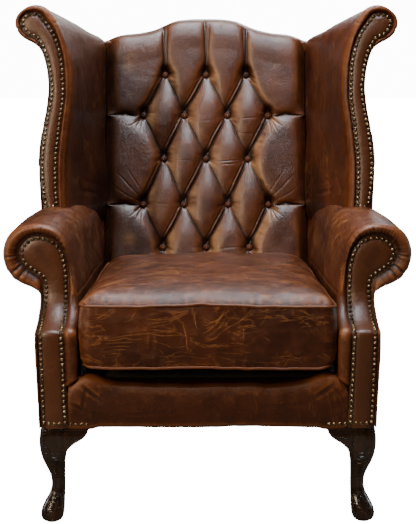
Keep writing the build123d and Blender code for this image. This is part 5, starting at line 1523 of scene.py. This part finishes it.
TOP_CRACKS = [(-236, 60, -150, 108, 9.0, 3, 0.8), (-150, 150, -60, 190, 9.0, 4, 0.9), (-120, 100, -60, 112, 8.0, 2, 0.7),
              (-200, 240, -120, 300, 12.0, 3, 0.6), (-180, 330, -120, 360, 14.0, 2, 0.4), (-90, 300, -40, 280, 12.0, 2, 0.4),
              (-75, 210, -62, 150, 5.0, 2, 0.6), (10, 130, 60, 126, 9.0, 2, 0.7), (72, 180, 84, 110, 5.0, 2, 0.7), (90, 190, 170, 150, 9.0, 3, 0.5),
              (130, 96, 225, 84, 8.0, 4, 0.8), (170, 230, 214, 150, 9.0, 2, 0.5), (30, 330, 110, 350, 14.0, 2, 0.4), (150, 330, 200, 380, 12.0, 2, 0.4),
              (-40, 70, -8, 96, 7.0, 2, 0.7), (-20, 230, 30, 250, 10.0, 2, 0.4), (205, 100, 240, 60, 7.0, 2, 0.5), (-30, 60, 50, 66, 6.0, 1, 0.5)]


def crack(a, b, bow, seed, dense=12):
    """A crooked line from a to b, bowed to one side."""
    a, b = np.asarray(a, float), np.asarray(b, float)
    t = np.linspace(0, 1, dense)
    n_ = np.array([-(b - a)[1], (b - a)[0]]) / max(np.linalg.norm(b - a), 1e-6)
    w = noise(np.stack([t * 4.0, 0 * t, 0 * t + seed * 1.7], -1), 1.0, 5) * 0.035 * np.linalg.norm(b - a)
    return a + t[:, None] * (b - a) + (np.sin(np.pi * t) * bow + w * np.sin(np.pi * t) ** 0.5)[:, None] * n_


def crack_mark(x, z, line, sigma):
    """Strength of a thin line on points x, z, tapered and broken along its length."""
    out = np.zeros(x.shape)
    lo_, hi_ = line.min(0) - 4 * sigma, line.max(0) + 4 * sigma
    m = (x > lo_[0]) & (x < hi_[0]) & (z > lo_[1]) & (z < hi_[1])
    if not m.any():
        return out
    px, pz = x[m], z[m]
    best = np.zeros(px.shape)
    for k in range(len(line) - 1):
        d_, t_ = seg_dist(px, pz, line[k], line[k + 1])
        f = (k + t_) / (len(line) - 1)
        best = np.maximum(best, np.exp(-(d_ / sigma) ** 2) * np.sin(np.pi * np.clip(f, 0, 1)) ** 0.45)
    out[m] = best
    return out


def cushion():
    fw, rw, df, db = 261.0, 243.0, -5.0, 553.0

    def plan(u, v):
        """(x, d) of the cushion's plan for u, v from -1 to 1, with round corners."""
        cr = 24.0
        b = (db - df) / 2
        a = 252.0
        x, y = u * a, v * b
        kx, ky = (np.abs(x) - (a - cr)) / cr, (np.abs(y) - (b - cr)) / cr
        c = (kx > 0) & (ky > 0)
        kx_, ky_ = np.clip(kx, 0, 1), np.clip(ky, 0, 1)
        nx = kx_ * np.sqrt(1 - ky_ ** 2 / 2)
        ny = ky_ * np.sqrt(1 - kx_ ** 2 / 2)
        x = np.where(c, np.sign(x) * (a - cr + nx * cr), x)
        y = np.where(c, np.sign(y) * (b - cr + ny * cr), y)
        d = df + b + y
        half = fw + (rw - fw) * (d - df) / (db - df)
        # the sides pull in a little between the corners
        pull = 1 - 0.010 * np.cos(np.clip(v, -1, 1) * np.pi / 2)
        return x / a * half * pull, d + 3.0 * (1 - (x / a) ** 2) * (v > 0.9)

    def seam_z(x, d):
        """Height of the top seam along the edge."""
        front = np.interp(x, (-262, -200, -144, -84, -12.7, 43.6, 100, 156, 212, 262),
                          (464.5, 463.0, 463.0, 465.0, 468.3, 465.8, 463.0, 462.8, 462.0, 461.5))
        back = 461 + 0 * x
        t = smoothstep(0, 160, d)
        return front * (1 - t) + back * t + 1.2 * np.sin(d / 37 + x / 90) * t

    def low_z(x, d):
        """Height of the bottom seam."""
        front = np.interp(x, (-262, -240, -200, -84, -12.7, 60, 156, 230, 262), (341.0, 337.5, 335.0, 335.6, 337.6, 335.0, 333.6, 334.6, 340.0))
        t = smoothstep(0, 140, d)
        return front * (1 - t) + 335.0 * t

    def pinch(x, d, z):
        """The lower front corners are drawn in."""
        k = smoothstep(215, 262, np.abs(x)) * (1 - smoothstep(0, 150, d)) * (1 - smoothstep(328, 356, z))
        return x - np.sign(x) * 11.0 * k

    nu, nv = 420, 290
    u = np.linspace(-1, 1, nu)
    v = np.linspace(-1, 1, nv)
    # closer rows near the edges
    ease = lambda s: np.sign(s) * (1 - (1 - np.abs(s)) ** 1.25)
    U, V_ = np.meshgrid(ease(u), ease(v), indexing="ij")
    x, d = plan(U, V_)
    half = fw + (rw - fw) * (d - df) / (db - df)
    ex, ef, eb = half - np.abs(x), d - df, db + 3 - d
    soft = lambda a, b: -8 * np.log(np.exp(-np.clip(a, 0, 400) / 8) + np.exp(-np.clip(b, 0, 400) / 8))
    e = np.maximum(soft(soft(ex, ef), eb), 0)
    e = np.minimum(e, np.minimum(np.minimum(ex, ef), eb))
    e = np.maximum(e, 0)
    crown = 24.0 * (1 - np.exp(-e / 16.0)) + 18.0 * (1 - np.exp(-(e / 72.0) ** 1.4))
    zt = seam_z(x, d) + crown
    marks = np.zeros(x.shape)
    P3 = np.stack([x, d, 0 * x], -1)
    w1, w2 = noise(P3, 60, 81) * 7, noise(P3, 60, 82) * 7
    xw, dw = x + w1, d + w2
    zt += 2.2 * noise(P3, 120, 83) + 1.5 * noise(P3, 48, 84) + 0.50 * noise(P3 * [1, 1.5, 1], 20, 85) + 0.14 * noise(P3, 8, 86)
    # soft hollows first, then the cracked wax lines
    for a, b, dep, wide in (((-240, 30), (-110, 150), 1.3, 9), ((-250, 80), (-150, 220), 1.0, 10), ((120, 20), (235, 130), 1.2, 9),
                            ((245, 60), (140, 210), 1.1, 10), ((-60, 120), (130, 160), 0.8, 12), ((-170, 190), (20, 250), 0.8, 12),
                            ((60, 210), (215, 270), 0.8, 12), ((-238, 510), (-150, 420), 1.2, 9), ((238, 512), (150, 430), 1.2, 9)):
        dd, tt = seg_dist(xw, dw, a, b)
        zt -= dep * np.exp(-(dd / wide) ** 2) * np.sin(np.pi * tt) ** 0.7
    for x0, d0, x1, d1, fan, count, k0 in TOP_CRACKS:
        for q_ in range(count):
            t0 = (q_ - 0.5 * (count - 1)) * fan
            c_ = crack((x0 + 0.3 * t0, d0 + t0), (x1 + 0.2 * t0, d1 + 1.5 * t0), 3.0, int(x0 * 7 + d0 + 31 * q_), dense=10)
            m_ = crack_mark(x, d, c_, 0.72)
            marks = np.maximum(marks, m_ * k0)
            zt -= 0.35 * m_ * k0
    # little gathers along the seam
    edge_l = np.where(ex < ef, d, x)
    gath = noise(np.stack([edge_l / 9.0, 0 * x, 0 * x], -1), 1.0, 87)
    zt += 0.9 * gath * np.exp(-e / 10) * smoothstep(0, 5, e)
    top = np.stack([x, d, zt], -1)
    bx, bd = plan(U, V_)
    zb = low_z(bx, bd) - 5.6 * (1 - np.exp(-e / 7.0)) + 0.4 * noise(P3, 60, 88)
    bot = np.stack([pinch(bx, bd, zb), bd, zb], -1)[::3, ::3]
    # the band, round the same outline
    q = np.concatenate([np.stack([ease(u)[:-1], np.full(nu - 1, -1.0)], -1), np.stack([np.full(nv - 1, 1.0), ease(v)[:-1]], -1),
                        np.stack([ease(u)[::-1][:-1], np.full(nu - 1, 1.0)], -1), np.stack([np.full(nv - 1, -1.0), ease(v)[::-1][:-1]], -1)])
    ox, od = plan(q[:, 0], q[:, 1])
    nb = 112
    t = np.linspace(0, 1, nb)[:, None]
    zs, zl = seam_z(ox, od), low_z(ox, od)
    zz = zl + (zs - zl) * t
    cx, cd = ox - 0, od - 275
    tang = np.roll(np.stack([ox, od], -1), -1, 0) - np.roll(np.stack([ox, od], -1), 1, 0)
    tang /= np.linalg.norm(tang, axis=1, keepdims=True)
    nrm = np.stack([tang[:, 1], -tang[:, 0]], -1)
    if (nrm * np.stack([cx, cd], -1)).sum() < 0:
        nrm = -nrm
    bulge = 4.6 * np.sin(np.pi * np.clip(t, 0, 1)) ** 0.75 + 0.6
    bulge = bulge - 1.0 * np.exp(-t / 0.05) - 1.0 * np.exp(-(1 - t) / 0.05)
    arc = np.r_[0, np.cumsum(np.hypot(*np.diff(np.stack([ox, od], -1), axis=0).T))]
    BP = np.stack([np.broadcast_to(ox, zz.shape), np.broadcast_to(od, zz.shape), zz], -1)
    bulge = bulge + 1.3 * noise(BP * [1, 1, 1.6], 70, 91) + 0.7 * noise(BP * [1, 1, 2.2], 30, 92) + 0.18 * noise(BP, 10, 93)
    bulge = bulge + 0.8 * noise(np.stack([np.broadcast_to(arc / 11.0, zz.shape), zz * 0, zz * 0], -1), 1.0, 94) * (np.exp(-(1 - t) / 0.10) + np.exp(-t / 0.12))
    bm = np.zeros(zz.shape)
    front = (np.abs(od) < 40) & (od < 20)
    for a, b, dep, wide in (((-215, 345), (-120, 350), 0.8, 5.0), ((-116, 362), (-112, 428), 1.0, 5.0), ((-90, 455), (-40, 405), 1.2, 6.0),
                            ((30, 450), (60, 400), 0.9, 6.0), ((150, 350), (220, 372), 0.8, 6.0), ((-245, 440), (-190, 400), 1.0, 6.0)):
        dd, tt = seg_dist(BP[..., 0], BP[..., 2], a, b)
        bulge = bulge - dep * np.exp(-(dd / wide) ** 2) * np.sin(np.pi * tt) ** 0.7 * front[None]
    for x0, z0, x1, z1, bow, k0 in FRONT_CRACKS:
        c_ = crack((x0, z0), (x1, z1), bow, int(x0 * 3 + z0), dense=12)
        m_ = 0.74 * crack_mark(BP[..., 0], BP[..., 2], c_, 0.58) * front[None]
        bm = np.maximum(bm, m_ * k0)
        bulge = bulge - 0.3 * m_ * k0
    darkening = np.zeros(zz.shape)
    for cx_, cz_, rx_, rz_, k0 in ((-95, 362, 85, 22, 0.55), (-22, 425, 20, 40, 0.45), (205, 438, 55, 26, 0.45), (-150, 442, 60, 15, 0.35),
                                   (90, 352, 70, 14, 0.35), (60, 440, 40, 14, 0.3), (130, 408, 30, 24, 0.3)):
        q2 = ((BP[..., 0] - cx_ + 26 * noise(BP, 34, 95)) / rx_) ** 2 + ((BP[..., 2] - cz_ + 16 * noise(BP, 26, 96)) / rz_) ** 2
        darkening = np.maximum(darkening, k0 * np.exp(-q2) * front[None])
    dull_top = 0.34 * smoothstep(0.05, 0.6, noise(P3 * [1, 1.5, 1], 44, 97)) + 0.25 * smoothstep(0.1, 0.7, noise(P3, 17, 98))
    band = np.stack([ox + nrm[:, 0] * bulge, od + nrm[:, 1] * bulge, zz], -1)
    band[..., 0] = pinch(band[..., 0], band[..., 1], band[..., 2])
    # the bottom corners at the front are rounded in
    VV, FF, off, M, K_ = [], [], 0, [], []
    for Gk, cm, dk, mk in ((top, False, dull_top, marks), (bot, False, np.zeros(bot.shape[:2]), np.zeros(bot.shape[:2])), (band, True, darkening, bm)):
        F = grid_faces(*Gk.shape[:2], close_m=cm)
        Vk = to_m(Gk).reshape(-1, 3)
        want = np.array([0, 0, 1.0]) if Gk is top else np.array([0, 0, -1.0]) if Gk is bot else np.array([0, -1.0, 0])
        qd = F[len(F) // 2] if Gk is not band else F[20 * len(ox) + nu // 2]
        if np.dot(np.cross(Vk[qd[1]] - Vk[qd[0]], Vk[qd[3]] - Vk[qd[0]]), want) < 0:
            F = F[:, ::-1]
        VV.append(Vk)
        FF.append(F + off)
        M.append(mk.ravel())
        K_.append(dk.ravel())
        off += len(Vk)
    o = make("cushion_leather", np.vstack(VV), np.vstack(FF), L_SEAT, body="seat_cushion", extra={"marks": np.concatenate(M), "painted_shade_and_mottle": np.concatenate(K_)})
    done(o, "leather_seat", "seat_cushion_cover", "seat_cushion_core", padded=0.75)
    pipes = []
    for zc, name in ((zs, "top"), (zl, "bottom")):
        px = pinch(ox + nrm[:, 0] * (0.8 if name == "top" else 1.6), od, zc)
        pd = od + nrm[:, 1] * (0.8 if name == "top" else 1.6)
        wob = noise(np.stack([arc / 24.0, 0 * arc, 0 * arc + len(pipes)], -1), 1.0, 97) * 0.6
        pth = np.stack([px, pd, zc + wob], -1)
        pth = pth[::1]
        V, F, T = tube(to_m(pth), 0.0031, 12, closed=True)
        q_ = F[0]
        VVm = V
        cn = VVm[q_].mean(0) - to_m(pth)[0]
        if np.dot(np.cross(VVm[q_[1]] - VVm[q_[0]], VVm[q_[3]] - VVm[q_[0]]), cn) < 0:
            F = F[:, ::-1]
        pipes.append((V, F))
    V = np.vstack([p[0] for p in pipes])
    F = np.vstack([pipes[0][1], pipes[1][1] + len(pipes[0][0])])
    o = make("cushion_piping", V, F, L_PIPE, body="seat_cushion")
    done(o, "leather_seat", "seat_cushion_piping")


cushion()


# ------------------------------------------------------------------ deck, outside back, dust cover
def deck():
    ds = np.linspace(62, 642, 150)
    zs = np.interp(ds, (62, 64, 74, 84, 92, 100, 130, 556, 600, 640, 642), (290, 297.5, 308, 317, 323, 326.8, 327.2, 327.2, 325, 300, 296))
    us = np.linspace(-1, 1, 130)
    half = np.interp(ds, (60, 560, 645), (281, 255, 240))
    X = us[:, None] * half[None]
    D = np.broadcast_to(ds, X.shape)
    P3 = np.stack([X, D, 0 * X], -1)
    Z = zs[None] - 3.0 * (1 - us[:, None] ** 2) * smoothstep(90, 220, D) * (1 - smoothstep(430, 560, D)) \
        + 0.5 * noise(P3, 60, 101) - 0.4 - 2.0 * np.exp(-((D - 104) / 2.0) ** 2)
    G = np.stack([X, D, Z], -1)
    V = to_m(G).reshape(-1, 3)
    F = grid_faces(*G.shape[:2])
    q = F[5000]
    if np.cross(V[q[1]] - V[q[0]], V[q[3]] - V[q[0]])[2] < 0:
        F = F[:, ::-1]
    o = make("deck_cover", V, F, DECKING, wear=False, solid=2.0)
    done(o, "hessian", "seat_deck", padded=0.6)


def outside_back():
    us = np.linspace(-1, 1, 200)
    ts = np.linspace(0, 1, 230)
    half_b, half_t = 300.5, 291.0
    X0 = us[:, None] * np.ones((1, len(ts)))
    xt = us * half_t
    zt_ = z_top(np.clip(xt, -254, 254)) - 48
    ztop = zt_ + (1001 - zt_) * smoothstep(224, 243, np.abs(xt))
    Z = 206.8 + (ztop[:, None] - 206.8) * ts[None]
    half = half_b + (half_t - half_b) * (Z - 206) / 790
    X = X0 * half
    ex = half - np.abs(X)
    P3 = np.stack([X, 0 * X, Z], -1)
    h = 2.2 * (1 - np.exp(-ex / 9)) * (1 - np.exp(-(Z - 206) / 12)) * (1 - np.exp(-(ztop[:, None] - Z + 1) / 10))
    h += (0.9 * noise(P3, 120, 111) + 0.5 * noise(P3, 45, 112)) * (1 - np.exp(-ex / 20)) + 0.12 * noise(P3, 14, 113)
    G = np.stack([X, d_out(Z) - 1.6 + h * 0.985, Z + 0 * h], -1)
    # turned edge all round
    pad = np.concatenate([G[:1], G, G[-1:]], 0)
    pad[0, :, 1] -= 6
    pad[-1, :, 1] -= 6
    pad[0, :, 0] += 0.6
    pad[-1, :, 0] -= 0.6
    pad = np.concatenate([pad[:, :1], pad, pad[:, -1:]], 1)
    pad[:, 0, 1] -= 6
    pad[:, -1, 1] -= 6
    G = pad
    V = to_m(G).reshape(-1, 3)
    F = grid_faces(*G.shape[:2])
    q = F[20000]
    if np.cross(V[q[1]] - V[q[0]], V[q[3]] - V[q[0]])[1] < 0:
        F = F[:, ::-1]
    o = make("outside_back_leather", V, F, L_OUT)
    done(o, "leather_outside", "outside_back_cover")


deck()
outside_back()

# ------------------------------------------------------------------ front legs, carved in one sweep with their knee brackets
LEG = np.array([(2.0, 345.5, 309.0), (5.5, 348.8, 306.0), (11.0, 350.8, 303.6), (17.0, 351.0, 302.2), (27.6, 349.0, 301.2),
                (36.0, 345.4, 300.8), (45.2, 340.4, 300.6), (56.0, 334.0, 300.4), (68.0, 329.8, 300.2), (80.0, 328.6, 300.0),
                (92.0, 329.6, 300.0), (104.0, 332.6, 299.8), (116.0, 337.2, 299.4), (130.0, 342.6, 299.0), (145.0, 346.8, 298.6),
                (160.0, 349.0, 298.0), (176.0, 349.8, 297.6), (192.0, 348.4, 297.2), (208.7, 345.0, 297.0)])
EAR = [(-324.0, 206.0), (-247.2, 206.0), (-247.4, 200.0), (-250.8, 191.0), (-257.6, 183.0), (-266.0, 177.4), (-274.6, 172.4),
       (-282.0, 167.0), (-288.6, 160.2), (-293.8, 152.6), (-297.4, 144.6), (-300.0, 137.0), (-304.0, 132.0), (-324.0, 140.0)]


def surface_nets(f, origin, step):
    """Quads on the zero level of the sampled field f, one vertex to each cell that the level crosses."""
    nx, ny, nz = f.shape
    cnt = sum((f[i:nx - 1 + i, j:ny - 1 + j, k:nz - 1 + k] < 0).astype(np.int8) for i in (0, 1) for j in (0, 1) for k in (0, 1))
    act = (cnt > 0) & (cnt < 8)
    idx = -np.ones(act.shape, np.int64)
    cells = np.argwhere(act)
    idx[act] = np.arange(len(cells))
    acc, num = np.zeros((len(cells), 3)), np.zeros(len(cells))
    corners = [(i, j, k) for i in (0, 1) for j in (0, 1) for k in (0, 1)]
    for a in corners:
        for ax in range(3):
            if a[ax]:
                continue
            b = tuple(v + (1 if q == ax else 0) for q, v in enumerate(a))
            fa = f[cells[:, 0] + a[0], cells[:, 1] + a[1], cells[:, 2] + a[2]]
            fb = f[cells[:, 0] + b[0], cells[:, 1] + b[1], cells[:, 2] + b[2]]
            m = (fa < 0) != (fb < 0)
            t = np.where(m, fa / np.where(m, fa - fb, 1), 0)
            pt = np.tile(np.array(a, float), (len(cells), 1))
            pt[:, ax] += t
            acc += pt * m[:, None]
            num += m
    V = (cells + acc / num[:, None]) * step + origin
    quads = []
    for ax in range(3):
        o1, o2 = [q for q in range(3) if q != ax]
        sl = [slice(1, -1)] * 3
        sl[ax] = slice(0, -1)
        sh = [slice(1, -1)] * 3
        sh[ax] = slice(1, None)
        a, b = f[tuple(sl)] < 0, f[tuple(sh)] < 0
        for val, turn in ((a & ~b, False), (~a & b, True)):
            e = np.argwhere(val)
            e[:, o1] += 1
            e[:, o2] += 1
            c = []
            for du, dv in ((0, 0), (-1, 0), (-1, -1), (0, -1)):
                q = e.copy()
                q[:, o1] += du
                q[:, o2] += dv
                c.append(idx[q[:, 0], q[:, 1], q[:, 2]])
            q = np.stack(c, -1)
            quads.append(q[:, ::-1] if turn else q)
    Q = np.concatenate(quads)
    Q = Q[(Q >= 0).all(1)]
    return V, Q


def legs():
    step = 1.5
    lo_, hi_ = np.array([-358.0, -6.0, -2.0]), np.array([-240.0, 112.0, 214.0])
    n = ((hi_ - lo_) / step).astype(int) + 1
    gx, gd, gz = [lo_[k] + step * np.arange(n[k]) for k in range(3)]
    c = param_curve(LEG, np.linspace(0, len(LEG) - 1, 400))
    outer, inner = np.interp(gz, c[:, 0], c[:, 1]), np.interp(gz, c[:, 0], c[:, 2])
    half = (outer - inner) / 2
    rr = half * np.interp(gz, (0, 50, 90, 130, 165, 208), (0.98, 0.96, 0.80, 0.62, 0.46, 0.36))
    X, D = gx[:, None, None], gd[None, :, None]
    mid = (outer + inner) / 2
    # the front and the side have the same profile, so the section sits on the diagonal
    qx = np.abs(X + mid[None, None, :]) - (half - rr)[None, None, :]
    qd = np.abs(D - (351.0 - mid)[None, None, :]) - (half - rr)[None, None, :]
    leg_ = np.hypot(np.maximum(qx, 0), np.maximum(qd, 0)) + np.minimum(np.maximum(qx, qd), 0) - rr[None, None, :]

    def ear(a):
        A, Z = np.meshgrid(a, gz, indexing="ij")
        poly = np.array(EAR)
        dist, _ = poly_dist(A, Z, np.vstack([poly, poly[:1]]))
        sd = np.where(inside(A, Z, poly), -dist, dist)
        return sd

    sx = ear(gx)[:, None, :]
    sd_ = ear(gd - 351.0)[None, :, :]     # the side ear has the same outline, seen from the side
    face = 351.0 - outer[None, None, :] + 1.4
    t1 = np.abs(D - face - 15.5) - 15.5
    t2 = np.abs(X + 351.0 - face - 15.5) - 15.5

    def smax(a, b, k):
        h_ = np.maximum(k - np.abs(a - b), 0) / k
        return np.maximum(a, b) + h_ * h_ * k / 4

    def smin(a, b, k):
        h_ = np.maximum(k - np.abs(a - b), 0) / k
        return np.minimum(a, b) - h_ * h_ * k / 4

    f = smin(leg_, smax(sx, t1, 5.0), 9.0)
    f = smin(f, smax(sd_, t2, 5.0), 9.0)
    cap = np.maximum(gz - 206.2, 2.2 - gz)[None, None, :]
    f = smax(f, cap, 1.5)
    f = np.maximum(f, 0.6 - D)
    V, Q = surface_nets(f, lo_, step)
    e = np.vstack([Q[:, [0, 1]], Q[:, [1, 2]], Q[:, [2, 3]], Q[:, [3, 0]]])
    V = laplace(V, e, 2)
    Vm = to_m(V)
    nq = np.cross(Vm[Q[:, 1]] - Vm[Q[:, 0]], Vm[Q[:, 3]] - Vm[Q[:, 0]])
    tot = (nq * Vm[Q[:, 0]]).sum()
    if tot < 0:
        Q = Q[:, ::-1]
    objs = both("leg_carved", Vm, Q, MAHOGANY, wear=False)
    done(objs, "mahogany", "front_leg", "knee_brackets")


legs()

# ------------------------------------------------------------------ materials of the CAD pieces that stay
SLOTS = {"antique_brass": BRASS, "mahogany": MAHOGANY, "frame_hardwood": BEECH, "steel": STEEL, "glide_plastic": GLIDE,
         "foam": HESSIAN, "hessian": HESSIAN, "black_cambric": CAMBRIC, "zip_tape": GLIDE, "leather_back": L_BACK,
         "leather_seat": L_SEAT, "leather_front": L_BORDER, "leather_arms": L_ARM, "leather_wings": L_WING, "leather_outside": L_OUT}
node_slot = {p["node"]: p["material_slot"] for p in frame["record"]["subparts"]}
for name, o in NODES.items():
    m = SLOTS.get(node_slot.get(name, ""), BEECH)
    if not o.data.materials:
        o.data.materials.append(m)
    for s_ in o.material_slots:
        s_.material = m
